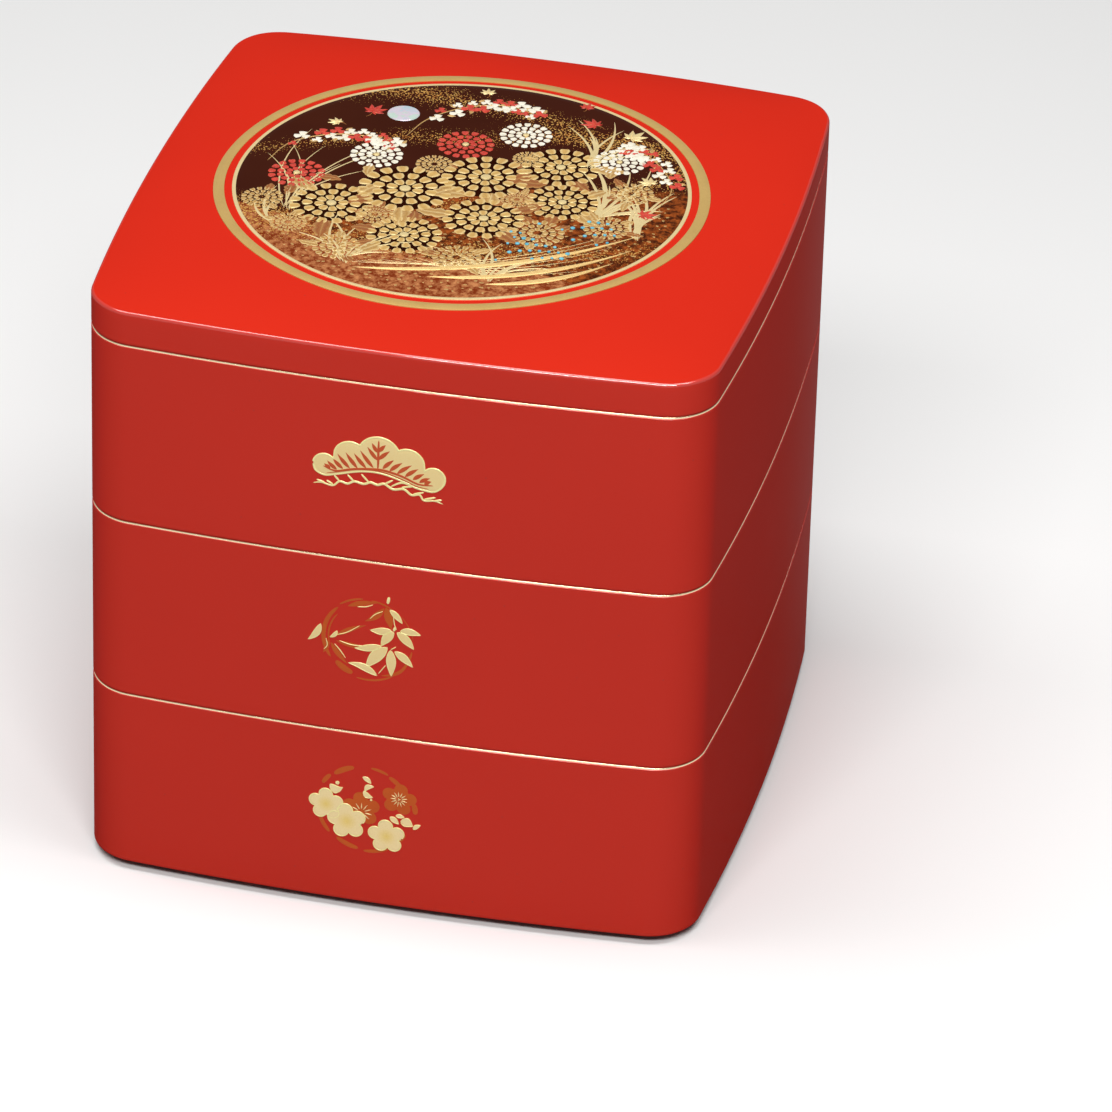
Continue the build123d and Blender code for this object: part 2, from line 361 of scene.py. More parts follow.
def outline(inset):
    """Points round the bowed square, this far inside it. A flat arc for a side and a tight one for a corner
    are taken four times over by quarter turns."""
    half_chord = half_width - side_bow
    side_radius = (half_chord**2 + side_bow**2) / (2 * side_bow)
    arc_radius = side_radius - inset
    centre = side_radius - half_width
    corner = max(corner_radius - inset, least_corner)
    reach = arc_radius - corner
    corner_centre = (sqrt(2 * reach**2 - centre**2) - centre) / 2
    swing = atan2(corner_centre, corner_centre + centre)
    along = np.linspace(-pi / 2 - swing, -pi / 2 + swing, side_steps, endpoint=False)
    around = np.linspace(-pi / 2 + swing, -swing, corner_steps, endpoint=False)
    x = np.concatenate([arc_radius * np.cos(along), corner_centre + corner * np.cos(around)])
    y = np.concatenate([centre + arc_radius * np.sin(along), corner * np.sin(around) - corner_centre])
    turned = [(x, y), (-y, x), (-x, -y), (y, -x)]
    return np.stack([np.concatenate(parts) for parts in zip(*turned)], axis=1)


def carried_round(profile):
    """A closed profile of insets and heights carried round the outline, with one ring for each of its
    points."""
    rings = [np.column_stack([outline(inset), np.full(4 * (side_steps + corner_steps), height)])
             for inset, height in profile]
    points = np.stack(rings)
    return points, grid_faces(*points.shape[:2], round_rows=True, round_columns=True)


def rounding(inset, height, radius, start, end, steps=7):
    """Points of a rounded edge: an arc about a centre given by its inset and height. Its angles are in
    degrees, 0 outwards and 90 up."""
    angle = np.radians(np.linspace(start, end, steps))
    return list(zip(inset - radius * np.cos(angle), height + radius * np.sin(angle)))


print("points round the box:", len(outline(0)))

# %% [markdown]
# ## Tier walls
# A tier's wall is one closed loop carried round the outline: up the outside, over the seat of the rim, down
# the inside and round the rebate that takes the floor. Rows of points close beside each rounded edge keep
# the wide faces flat in the light. The outside is red and the inside black, on faces of the same piece.

# %% Profiles of the wall, the rim and the foot
near = 0.15
foot_edge, foot_inner_edge = 0.6, 0.4


def wall_profile(base):
    """Up the outside, over the rim's seat, down the inside and round the floor's rebate."""
    seat = base + tier_height - rim_height
    outer = rounding(lower_edge_radius, base + lower_edge_radius, lower_edge_radius, -90, 0)
    outer += [(0, base + lower_edge_radius + 0.4), (0, base + 6), (0, seat - 6)]
    outer += [(0, seat - wall_edge_radius - near)]
    outer += rounding(wall_edge_radius, seat - wall_edge_radius, wall_edge_radius, 0, 90, 6)
    inner = [(rim_step + near, seat), (wall_thickness, seat), (wall_thickness, seat - near)]
    inner += [(wall_thickness, base + 8), (wall_thickness, base + floor_thickness)]
    return outer + inner + [(rebate_inset, base + floor_thickness), (rebate_inset, base)]


def rim_profile(base):
    """The gold lip: both upper edges rounded, the outer one more."""
    top = base + tier_height
    seat = top - rim_height
    face_inset = rim_step + rim_edge_radius
    outer = [(rim_step, seat)] + rounding(face_inset, top - rim_edge_radius, rim_edge_radius, 0, 90, 9)
    inner = rounding(wall_thickness - rim_edge_radius, top - rim_edge_radius, rim_edge_radius, 90, 180, 5)
    flat = [(face_inset + near, top), (wall_thickness - rim_edge_radius - near, top)]
    return outer + flat + inner + [(wall_thickness, seat)]


def ledge_profile(low, high, width):
    """A low frame that hangs inside the outline, with its lower edges rounded: a foot, or the lid's ring."""
    outer = rounding(foot_inset + foot_edge, low + foot_edge, foot_edge, -90, 0, 5) + [(foot_inset, high)]
    inner_at = foot_inset + width
    inner = rounding(inner_at - foot_inner_edge, low + foot_inner_edge, foot_inner_edge, 180, 270, 5)
    return outer + [(inner_at, high)] + inner


profiles = (wall_profile(0), rim_profile(0), ledge_profile(0, foot_height, foot_width))
print("points in the profiles of wall, rim and foot:", [len(profile) for profile in profiles])

# %% Red outside and black inside
# How far up an outer face leans where it belongs to a polished edge, as the sine of its lean
polished_from, polished_to = 0.17, 0.95


def finish_by_face(piece, inside_top):
    """Chooses a finish face by face. Faces below the inside's top whose direction and place point opposite
    ways look inwards and are black. Outer faces that lean up are a polished edge, the rest is plain."""
    mesh = piece.data
    mesh.materials.append(black_lacquer)
    mesh.materials.append(polished_vermilion)
    count = len(mesh.polygons)
    directions, places = np.empty(count * 3), np.empty(count * 3)
    mesh.polygons.foreach_get("normal", directions)
    mesh.polygons.foreach_get("center", places)
    directions, places = directions.reshape(-1, 3), places.reshape(-1, 3)
    outwards = (directions[:, :2] * places[:, :2]).sum(axis=1)
    under = (directions[:, 2] < -0.9) & (places[:, 2] > (lid_base + 1) * millimetre)
    inside = ((outwards < -1e-4) & (places[:, 2] < inside_top * millimetre)) | under
    polished = (outwards > 0) & (directions[:, 2] > polished_from) & (directions[:, 2] < polished_to)
    mesh.polygons.foreach_set("material_index", (inside + 2 * polished).astype(np.int32))
    print(f"{piece.name}: {int(inside.sum())} black faces, {int(polished.sum())} polished faces")


print("polished edges lean between", polished_from, "and", polished_to)

# %% The three tiers
for number, tier in enumerate(tiers):
    base = foot_height + number * tier_height
    body = f"{tier}_tier"
    wall_sheet, rim_sheet = carried_round(wall_profile(base)), carried_round(rim_profile(base))
    foot_sheet = carried_round(ledge_profile(base - foot_height, base, foot_width))
    wall = make_piece(f"{tier}_wall_lacquer", [wall_sheet], body, vermilion_lacquer)
    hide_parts(f"{tier}_wall")
    finish_by_face(wall, base + tier_height)
    rim = make_piece(f"{tier}_rim_gold", [rim_sheet], body, rim_gold)
    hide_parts(f"{tier}_rim")
    foot = make_piece(f"{tier}_foot_lacquer", [foot_sheet], body, black_lacquer)
    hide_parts(f"{tier}_foot")
    floor_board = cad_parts[f"{tier}_floor"]
    for index in range(len(floor_board.material_slots)):
        floor_board.material_slots[index].material = black_lacquer

# %% [markdown]
# ## The crowned lid
# The lid swells gently to a flat middle and rolls off near its edge. Its height falls with the sixth power
# of the share of the way out, taken along the bowed sides. The top is the outline shrunk towards the middle
# in rings. Between top and side runs a rounded edge, an arc that touches both, worked out for every point.

# %% Crown and rings of the lid
def crown_height(x, y):
    """Height of the lid's surface: the edge height plus the crown times one minus the sixth power of each
    share of the way out. The shares follow from x and y by a few rounds of dividing by the swelling width."""
    share_x, share_y = x / half_width, y / half_width
    for _ in range(12):
        share_x, share_y = x / (half_width - side_bow * share_y**2), y / (half_width - side_bow * share_x**2)
    return lid_edge + lid_crown * (1 - share_x**6) * (1 - share_y**6)


def lid_rings():
    """Rings of points from the side over the rounded edge, and on to the middle of the crown."""
    outer, one_in, two_in = outline(0), outline(1), outline(2)
    fall = crown_height(*two_in.T) - crown_height(*one_in.T)
    tilt = np.arctan(fall)
    touch = crown_height(*one_in.T) - fall * np.sin(tilt)
    centre = touch - lid_edge_radius * np.cos(tilt)
    rings = []
    for share in np.linspace(0, 1, 10):
        angle = share * (pi / 2 - tilt)
        inset = lid_edge_radius * (1 - np.cos(angle))
        plan = outer + (one_in - outer) * inset[:, None]
        rings.append(np.column_stack([plan, centre + lid_edge_radius * np.sin(angle)]))
    shares = np.concatenate([[0.998], 1 - np.linspace(0.006, 1, 44)])
    top = [rings[-1][:, :2] * share for share in shares]
    return rings, [np.column_stack([plan, crown_height(*plan.T)]) for plan in top]


print("crown at the middle, in millimetres:", round(float(crown_height(0.0, 0.0)), 2))

# %% The lid's shell and ring
edge_rings, top_rings = lid_rings()
round_count = len(outline(0))
below = [(wall_thickness * 3, lid_seat), (wall_thickness, lid_seat), (wall_thickness, lid_seat - near)]
below += [(wall_thickness, lid_base)]
below += rounding(lower_edge_radius, lid_base + lower_edge_radius, lower_edge_radius, -90, 0)
below += [(0, lid_base + lower_edge_radius + 0.4), (0, lid_edge - 3.0)]
below_rings = [np.column_stack([outline(inset), np.full(round_count, height)]) for inset, height in below]
middle_ring = [np.column_stack([outline(0) * 0, np.full(round_count, lid_seat)])]
lid_points = np.stack(middle_ring + below_rings + edge_rings + top_rings)
lid_faces = grid_faces(*lid_points.shape[:2], round_columns=True)
lid_shell = make_piece("lid_shell", [(lid_points, lid_faces)], "lid", vermilion_lacquer)
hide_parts("lid_board", "lid_skirt")
finish_by_face(lid_shell, lid_seat + near)

ring_sheet = carried_round(ledge_profile(lid_base - foot_height, lid_seat, lid_ring_width))
lid_ring = make_piece("lid_ring_lacquer", [ring_sheet], "lid", black_lacquer)
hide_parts("lid_ring")

# %% [markdown]
# ## Raised shapes
# Leaves, petals, twigs and outlines are all the same kind of solid: a low cross-section carried along a
# line, wide in the middle and closing to a point or a round end. One function makes many at once from
# arrays of ends, widths and bends. A second function carries the section along any drawn line. What they
# give is a flat plan and a height, which is then laid on the crown of the lid or on the bowed front.

# %% Sections and widths
def section_of(*half):
    """A section from one half of its points, each a share across, a height and how near it is to an edge. The
    other half mirrors it, and two low points close it below."""
    half = np.array(half, float)
    mirrored = half[::-1] * (-1, 1, 1)
    upper = np.vstack([mirrored, half[half[:, 0] > 0]])
    return np.vstack([upper, (0.9, -0.1, 0), (-0.9, -0.1, 0)])


dome_section = section_of((0, 1, 0), (0.4, 0.93, 0), (0.8, 0.62, 0.6), (1, 0, 1))
spoon_section = section_of((0, 0.5, 0), (0.3, 0.62, 0), (0.62, 1, 0.5), (0.9, 0.85, 1), (1, 0, 1))
vein_section = section_of((0, 0.55, 1), (0.12, 1, 0.3), (0.45, 0.85, 0), (0.85, 0.5, 0.7), (1, 0, 1))
flat_section = section_of((0, 1, 0), (0.6, 1, 0), (0.94, 0.8, 1), (1, 0, 1))


def direction(angle):
    """The cosine and the sine of each angle: a step of length one that way."""
    return np.stack([np.cos(angle), np.sin(angle)], -1)


def leaf_width(share):
    """The sine of half a turn times the share to the power 0.8: widest a little before the middle and
    pointed at both ends."""
    return np.sin(pi * share**0.8) ** 1.1


def petal_width(share):
    """A straight rise from 0.42 to 1, times the root of one less the fifth power of the distance from the
    middle: narrow at the root and round at the tip."""
    return (0.42 + 0.58 * share) * (1 - np.abs(2 * share - 1) ** 5) ** 0.5


def lobed_width(share):
    """The sine of half a turn times the share to the power 0.75, drawn in three times by a cosine, which
    leaves soft lobes."""
    return np.sin(pi * share**0.75) ** 0.7 * (0.72 + 0.28 * np.abs(np.cos(3 * pi * share)))


def grass_width(share):
    """A quick rise over the first two fifths, times one less the share, both to the power 0.6: a long thin
    tip."""
    return (share * 2.5).clip(0, 1) ** 0.6 * (1 - share) ** 0.6


print("points across the dome section:", len(dome_section))

# %% Many leaves at once
def blades(starts, ends, widths, bends, rises, width=leaf_width, section=dome_section, stations=11, seat=0.0):
    """Many leaves at once. Each runs along a parabola between its ends that bulges by its bend, and the
    section stands across it, scaled by the width at that share of the way. Gives plans, heights and how near
    each point is to an edge, with one row for each station."""
    starts, ends = np.atleast_2d(starts).astype(float), np.atleast_2d(ends).astype(float)
    count = len(starts)
    widths, bends, rises, seats = (np.broadcast_to(np.asarray(v, float), count)[:, None, None]
                                   for v in (widths, bends, rises, seat))
    share = np.linspace(0, 1, stations)[None, :, None]
    run = (ends - starts)[:, None, :]
    across = np.stack([-run[..., 1], run[..., 0]], -1) / np.linalg.norm(run, axis=-1, keepdims=True)
    line = starts[:, None, :] + share * run + 4 * share * (1 - share) * bends * across
    way = run + 4 * (1 - 2 * share) * bends * across
    side = np.stack([-way[..., 1], way[..., 0]], -1) / np.linalg.norm(way, axis=-1, keepdims=True)
    spread = width(share) * widths / 2
    plan = line[:, :, None, :] + side[:, :, None, :] * (spread * section[:, 0])[..., None]
    swell = np.sqrt(np.clip(width(share), 0, 1))
    edge = np.broadcast_to(np.maximum(section[:, 2], share > 0.94), plan.shape[:-1])
    return plan, seats + rises * swell * section[:, 1], edge


print("points in one leaf:", blades((0, 0), (10, 0), 2, 0, 0.2)[0].size // 2)

# %% Drawn strokes
def strokes(line, widths, rise, section=dome_section, closed=False, seat=0.0):
    """The section carried along one drawn line. Its width may change on the way, and open ends close to a
    point."""
    line = np.asarray(line, float)
    if closed:
        way = np.roll(line, -1, 0) - np.roll(line, 1, 0)
    else:
        way = np.gradient(line, axis=0)
    side = np.stack([-way[:, 1], way[:, 0]], -1) / np.linalg.norm(way, axis=-1, keepdims=True)
    share = np.linspace(0, 1, len(line))
    ends = np.ones(len(line)) if closed else (4 * share * (1 - share)).clip(0, 1) ** 0.35
    spread = np.broadcast_to(np.asarray(widths, float), len(line)) / 2 * ends
    plan = line[:, None, :] + side[:, None, :] * (spread[:, None] * section[:, 0])[..., None]
    height = seat + rise * np.sqrt(ends)[:, None] * section[:, 1]
    return plan[None], height[None], np.broadcast_to(section[:, 2], height.shape)[None]


def drawn(points, steps=6):
    """A smooth line through given points. Between two of them it is the cubic whose slopes at its ends run
    parallel to the lines between their neighbours."""
    points = np.asarray(points, float)
    padded = np.vstack([2 * points[0] - points[1], points, 2 * points[-1] - points[-2]])
    before, start, end, after = padded[:-3], padded[1:-2], padded[2:-1], padded[3:]
    share = np.linspace(0, 1, steps, endpoint=False)[None, :, None]
    a, b, c, d = (part[:, None, :] for part in (before, start, end, after))
    square, cube = 2 * a - 5 * b + 4 * c - d, 3 * b - a - 3 * c + d
    curve = (0.5 * (2 * b + (c - a) * share + square * share**2 + cube * share**3)).reshape(-1, 2)
    return np.vstack([curve, points[-1]])


print("points in one stroke:", strokes(drawn([(0, 0), (5, 1), (10, 0)]), 1, 0.2)[0].size // 2)

# %% [markdown]
# Flowers seen from the front need a round sheet instead: rings that grow from the middle to a wavy edge.

# %% Blossoms and beads
plum_reach, plum_petal = 0.62, 0.385


def petal_edge(angle, petals, reach, petal):
    """The outer edge of a ring of circles, as a share of the blossom's radius. At each angle it lies at the
    reach times the cosine of the angle from the nearest petal, plus the root of what the sine leaves of the
    petal's own radius squared."""
    sector = 2 * pi / petals
    off = (angle + sector / 2) % sector - sector / 2
    return reach * np.cos(off) + np.sqrt(np.clip(petal**2 - (reach * np.sin(off)) ** 2, 0, None))


def blossoms(middles, radii, turns, rise, petals=5, reach=plum_reach, petal=plum_petal, rings=7, spokes=60,
             seat=0.0, dish=0.25):
    """Round sheets: rings of a petalled edge, each shrunk to its share of the way out. The height is a low
    dish with a rounded edge."""
    middles, radii, turns = np.atleast_2d(middles), np.atleast_1d(radii), np.atleast_1d(turns)
    angle = np.linspace(0, 2 * pi, spokes, endpoint=False)
    edge = petal_edge(angle[None] - np.radians(turns)[:, None], petals, reach, petal) * radii[:, None]
    shares = np.concatenate([np.linspace(0, 0.86, rings - 3), [0.95, 1.0, 0.97, 0.0]])
    rises = np.concatenate([1 - dish + dish * np.linspace(0, 1, rings - 3) ** 2, [0.85, 0.0, -0.1, -0.1]])
    plan = edge[:, None, :, None] * shares[None, :, None, None] * direction(angle)[None, None]
    plan = plan + middles[:, None, None, :]
    height = seat + rise * np.broadcast_to(rises[None, :, None], plan.shape[:-1])
    edge = np.broadcast_to((shares > 0.9)[None, :, None], plan.shape[:-1]).astype(float)
    return plan, height, edge


def blossom_edge(middle, radius, turn, steps=80):
    """The edge line of one plum blossom."""
    angle = np.linspace(0, 2 * pi, steps, endpoint=False)
    edge = petal_edge(angle - radians(turn), 5, plum_reach, plum_petal) * radius
    return middle + edge[:, None] * direction(angle)


def beads(middles, radii, rise, seat=0.0, rings=4, spokes=8):
    """Low round drops: blossoms with a petal for each spoke, so that the edge is round."""
    return blossoms(middles, radii, 0, rise, petals=spokes, reach=0.5, petal=0.5, rings=rings + 1,
                    spokes=spokes, seat=seat, dish=-0.4)


print("points in one blossom:", blossoms((0, 0), 5, 0, 0.2)[0].size // 2)

# %% Laid on the lid and on the front
def laid(shapes, place_on):
    """Sheets for make_piece: each group of plans and heights put on a surface."""
    sheets = []
    for plan, height, *edge in shapes:
        points = place_on(plan[..., 0], plan[..., 1], height)
        count, rows, columns = points.shape[:3]
        faces = grid_faces(rows, columns, round_columns=True)
        faces = (faces[None] + (np.arange(count) * rows * columns)[:, None, None]).reshape(-1, 4)
        sheets.append((points.reshape(-1, 3), faces, *edge))
    return sheets


medallion_shift = (-1.6, -1.3)
front_radius = ((half_width - side_bow) ** 2 + side_bow**2) / (2 * side_bow)


def on_lid(x, y, height):
    """A plan about the medallion's middle, laid on the crown, this high above it."""
    x, y = x + medallion_shift[0], y + medallion_shift[1]
    return np.stack([x, y, crown_height(x, y) + height], -1)


def on_front(middle_x, middle_z):
    """A plan laid on the bowed front about a point. Its depth is the root of the front's radius, with the
    height above the lacquer, squared less the distance across squared."""
    def place_on(x, z, height):
        across = x + middle_x
        out = np.sqrt((front_radius + height) ** 2 - across**2)
        return np.stack([across, front_radius - half_width - out, z + middle_z], -1)

    return place_on


def lid_motif(name, shapes, finish):
    """A raised piece of the medallion's picture."""
    return make_piece(name, laid(shapes, on_lid), "lid", finish)


def crest_motif(name, shapes, at, tier, finish):
    """A raised piece of the crest that a tier bears about this point."""
    return make_piece(name, laid(shapes, on_front(*at)), f"{tier}_tier", finish)


print("medallion's middle, in millimetres:", on_lid(0.0, 0.0, 0.0).round(2))

# %% [markdown]
# ## The medallion's ground
# A round sheet of dark lacquer lies on the crown, with a thin gold line at its edge and a gold band further
# out. On the ground, gold dust drifts in clouds: dust is sprinkled thickly along soft bands and thins out,
# so the mask for a grain is a fine cell pattern whose threshold follows the bands. In front, two mottled
# banks with ragged shores, one of dark earth and one of rust and sand, take the place of the dark lacquer.

# %% Flat films on the crown
ground_radius = 62.3
line_width = 1.1
red_gap = 2.1
band_width = 3.1
film, film_soft, film_steps = 0.3, 0.12, 256


def round_film(inner, outer):
    """A flat ring or disc on the crown: a profile of radii and heights with softly rounded edges, turned
    about the middle and closed underneath."""
    rise, soft, eased = film, film_soft, 0.3 * film_soft
    if inner > 0:
        profile = [(inner, 0), (inner, rise - soft), (inner + eased, rise - eased), (inner + soft, rise)]
    else:
        profile = [(0, 0.0), (0, rise)] + [(outer * share, rise) for share in np.linspace(0.03, 0.97, 34)]
    profile += [(outer - soft, rise), (outer - eased, rise - eased), (outer, rise - soft), (outer, 0)]
    radius, height = np.array(profile).T
    angle = np.linspace(0, 2 * pi, film_steps, endpoint=False)
    x, y = radius[:, None] * np.cos(angle), radius[:, None] * np.sin(angle)
    points = on_lid(x, y, np.broadcast_to(height[:, None], x.shape))
    return points, grid_faces(*x.shape, round_rows=True, round_columns=True)


print("points in a film:", round_film(0, ground_radius)[0].size // 3)

# %% Sprinkled lacquer for the ground
ground_deep, ground_warm = colour(0.032, 0.0050, 0.0020), colour(0.056, 0.0110, 0.0040)
dust_orange, dust_gold = colour(0.55, 0.20, 0.035), colour(0.85, 0.52, 0.14)
sand_pale, sand_rust = colour(0.52, 0.210, 0.080), colour(0.18, 0.026, 0.005)
earth_warm, earth_deep = colour(0.36, 0.080, 0.014), colour(0.055, 0.011, 0.003)
# Where each band crosses the middle, its slope, its bend and its half width, in metres
dust_bands = (
    (0.046, -0.18, -3.0, 0.0100), (0.030, 0.22, -2.0, 0.0080),
    (-0.012, 0.40, 2.5, 0.0120), (-0.040, 0.10, 3.5, 0.0130),
)
# Where each shore crosses the middle, its slope and its bend, in metres, and the bank's two colours
banks = (((-0.004, 0.42, -2.0), earth_warm, earth_deep), ((-0.044, -0.16, 3.0), sand_pale, sand_rust))
shore_ragged, shore_soft = 0.010, 0.0006


def sprinkled_ground():
    """Dark lacquer, then the two banks over it, then gold dust where the bands are dense."""
    finish = Finish("sprinkled_ground", Specular_IOR_Level=0.01)
    at = finish.place()
    x = finish.node("ShaderNodeSeparateXYZ", values={0: at})
    y = Wire(finish, x.socket.node.outputs[1])
    drift = finish.noise(28.0, 3.0)
    density = 0.0
    for rise, slope, bend, width in dust_bands:
        middle_line = rise + slope * x + bend * (x * x) + 0.012 * (drift - 0.5)
        density = density + (1 - ((y - middle_line) / width).size()).clamped()
    cloudy = (density * (0.35 + 1.1 * drift)).clamped()
    cells = finish.node("ShaderNodeTexVoronoi", values={"Vector": at, "Scale": 1500.0})
    grain = finish.noise(1800.0, 2.0, 0.6)
    dust = (cells + 0.25 * grain) < (0.14 + 0.42 * cloudy)
    dust = dust * (cloudy > 0.06)
    tone = finish.noise(700.0, 1.0)
    body = finish.blend(finish.noise(35.0, 3.0), ground_deep, ground_warm)
    mottle = (4.0 * finish.noise(520.0, 4.0, 0.7) - 1.65).clamped()
    ragged = shore_ragged * finish.noise(90.0, 4.0) - shore_ragged / 2
    for (rise, slope, bend), pale, deep in banks:
        shore = rise + slope * x + bend * (x * x) + ragged
        inside = ((shore - y) / shore_soft).clamped()
        body = finish.blend(inside, body, finish.blend(mottle, deep, pale))
    gold_tone = finish.blend((2.2 * tone - 0.6).clamped(), dust_orange, dust_gold)
    finish.feed(
        Base_Color=finish.blend(dust, body, gold_tone),
        Metallic=0.5 * dust,
        Roughness=0.16 + 0.25 * dust + 0.05 * grain,
        Normal=finish.bump(dust, 0.00004, 0.4),
    )
    return finish.material


print("bands of dust:", len(dust_bands), "banks:", len(banks))

# %% Ground, line and band
line_radius = ground_radius + line_width
band_inner = line_radius + red_gap
ground_sheet, line_sheet = round_film(0, ground_radius), round_film(ground_radius, line_radius)
band_sheet = round_film(band_inner, band_inner + band_width)
ground = make_piece("medallion_ground_lacquer", [ground_sheet], "lid", sprinkled_ground())
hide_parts("medallion_ground")
line = make_piece("medallion_gold_line", [line_sheet], "lid", bright_gold)
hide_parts("medallion_line")
band = make_piece("medallion_gold_band", [band_sheet], "lid", ring_gold)
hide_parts("medallion_band")

# %% [markdown]
# ## Chrysanthemums
# The picture is an autumn stream with chrysanthemums, a common theme on such boxes. Each flower has three
# rows of short round petals around a beaded middle. The petals are raised separately, and the gold flowers
# lie on beds of lacquer darker than the ground: painted shade, so that dark lines stay between the petals.

# %% Where the flowers stand
# Middle and radius of each flower, as shares of the ground's radius
chrysanthemum_shares = np.array([
    (-0.52, -0.30, 0.190), (-0.24, -0.08, 0.215), (0.08, 0.12, 0.200), (0.38, 0.30, 0.180),
    (-0.14, -0.50, 0.170), (0.16, -0.26, 0.185), (0.46, -0.02, 0.165), (0.62, 0.42, 0.120),
    (-0.74, -0.06, 0.130), (-0.44, 0.20, 0.120), (-0.08, 0.40, 0.130), (0.16, 0.56, 0.120),
])
white_flowers, red_flowers = (7, 9, 11), (8, 10)
gold_flowers = [n for n in range(len(chrysanthemum_shares)) if n not in white_flowers + red_flowers]
small_flower_shares = np.array([
    (-0.83, -0.32, 0.095), (-0.40, -0.68, 0.110), (0.13, -0.64, 0.110), (0.42, -0.33, 0.120),
    (0.70, -0.20, 0.105), (0.74, 0.14, 0.100), (-0.17, 0.18, 0.085), (0.26, -0.05, 0.075),
    (-0.31, -0.35, 0.085), (-0.66, -0.52, 0.085), (0.22, 0.34, 0.070),
])
motif_seat = film - 0.02
# Where a row of petals starts and ends as shares of the flower's radius, their number and how high they sit
petal_rows = ((0.72, 1.0, 16, 0.0), (0.43, 0.69, 12, 0.05), (0.16, 0.40, 8, 0.10))
petal_share = 0.91
row_turn = 0.17
middle_beads = 22
print("gold flowers:", len(gold_flowers), "small flowers:", len(small_flower_shares))

# %% Petals and middle of a flower
def ring_of(middle, start, end, count, turn):
    """Starts and ends of petals that stand round a middle."""
    way = direction(turn + np.arange(count) * 2 * pi / count)
    return middle + way * start, middle + way * end


def scale_width(share):
    """A straight rise from 0.62 to 1, times the root of one less the third power of the distance from the
    middle: a short round petal, a little broader towards its tip."""
    return (0.62 + 0.38 * share) * (1 - np.abs(2 * share - 1) ** 3) ** 0.5


def chrysanthemum(shares, turn):
    """Rows of short round petals, each row nearer the middle and seated higher than the one outside it."""
    x, y, size = shares * ground_radius
    shapes = []
    for row, (start, end, count, seat) in enumerate(petal_rows):
        starts, ends = ring_of(np.array([x, y]), start * size, end * size, count, turn + row * row_turn)
        width = 2 * pi * (0.84 * end * size) / count * petal_share
        rise = 0.22 - 0.03 * row
        shapes.append(blades(starts, ends, width, 0, rise, scale_width, spoon_section, 9, motif_seat + seat))
    return shapes


def several(numbers, flower_shares=chrysanthemum_shares, turn=0.3):
    """The petals of these flowers of a table, each flower turned a little further."""
    return [shape for n in numbers for shape in chrysanthemum(flower_shares[n], turn * n)]


def flower_middle(shares):
    """Beads in a sunflower spiral on a low button."""
    x, y, size = shares * ground_radius
    order = np.arange(middle_beads) + 0.5
    spread = 0.09 * size * np.sqrt(order / middle_beads)
    at = (x, y) + spread[:, None] * direction(order * golden_angle)
    return [beads([(x, y)], [0.12 * size], 0.36, motif_seat, rings=5, spokes=24),
            beads(at, np.full(middle_beads, 0.017 * size), 0.09, motif_seat + 0.32, rings=3, spokes=8)]


print("petals in a flower:", sum(row[2] for row in petal_rows))

# %% Gold flowers and their beds
flowers = lid_motif("chrysanthemums_gold", several(gold_flowers), relief_gold)
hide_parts("medallion_flowers")
# Beds under the gold flowers, darker than the ground: painted shade in the lines between the petals
shadow_deep, shadow_warm = colour(0.016, 0.0030, 0.0012), colour(0.030, 0.0065, 0.0025)
shadow = lacquer("shadow_lacquer", shadow_deep, shadow_warm, dust_gold, 0.3, coat=0.0)
bed_at = chrysanthemum_shares[gold_flowers] * ground_radius
beds = blossoms(bed_at[:, :2], 0.86 * bed_at[:, 2], 0, 0.05, petals=16, reach=0.9, petal=0.21, spokes=96,
                seat=motif_seat)
lid_motif("flower_beds_painted_shade", [beds], shadow)
small_flowers = several(range(len(small_flower_shares)), small_flower_shares, 0.5)
lid_motif("chrysanthemums_small", small_flowers, small_gold)
middles = [shape for shares in chrysanthemum_shares for shape in flower_middle(shares)]
lid_motif("chrysanthemum_middles", middles, bright_gold)

# %% Enamel flowers
def enamel(name, deep, pale, dust_colour):
    """Coloured lacquer with a slight change of tone and a little gold dust."""
    finish = Finish(name, Specular_IOR_Level=0.4)
    tone = finish.noise(420.0, 3.0)
    dust = finish.noise(grain_scale, 2.0, 0.6) > 0.66
    body = finish.blend((1.8 * tone - 0.4).clamped(), deep, pale)
    finish.feed(
        Base_Color=finish.blend(0.7 * dust, body, dust_colour),
        Metallic=0.4 * dust,
        Roughness=0.30 + 0.2 * tone,
        Normal=finish.bump(tone, grain_relief, 0.5),
    )
    return finish.material


yellow_dust, orange_dust = colour(0.75, 0.55, 0.22), colour(0.75, 0.45, 0.15)
pale_dust = colour(0.35, 0.75, 0.80)
white_enamel = enamel("white_enamel", colour(0.72, 0.66, 0.50), colour(0.92, 0.88, 0.76), yellow_dust)
red_enamel = enamel("red_enamel", colour(0.42, 0.022, 0.012), colour(0.68, 0.06, 0.035), orange_dust)
blue_enamel = enamel("blue_enamel", colour(0.05, 0.30, 0.42), colour(0.22, 0.62, 0.74), pale_dust)
lid_motif("chrysanthemums_white", several(white_flowers), white_enamel)
lid_motif("chrysanthemums_red", several(red_flowers), red_enamel)

# %% [markdown]
# ## Leaves and grass
# Lobed leaves fill the gaps between the flowers, and pampas grass fans up behind them. A leaf has a fold
# along its middle. Grass is one long stroke for each blade, all in one call.

# %% Leaves on the lid
every_flower = np.vstack([chrysanthemum_shares, small_flower_shares])
leaves_each = 4


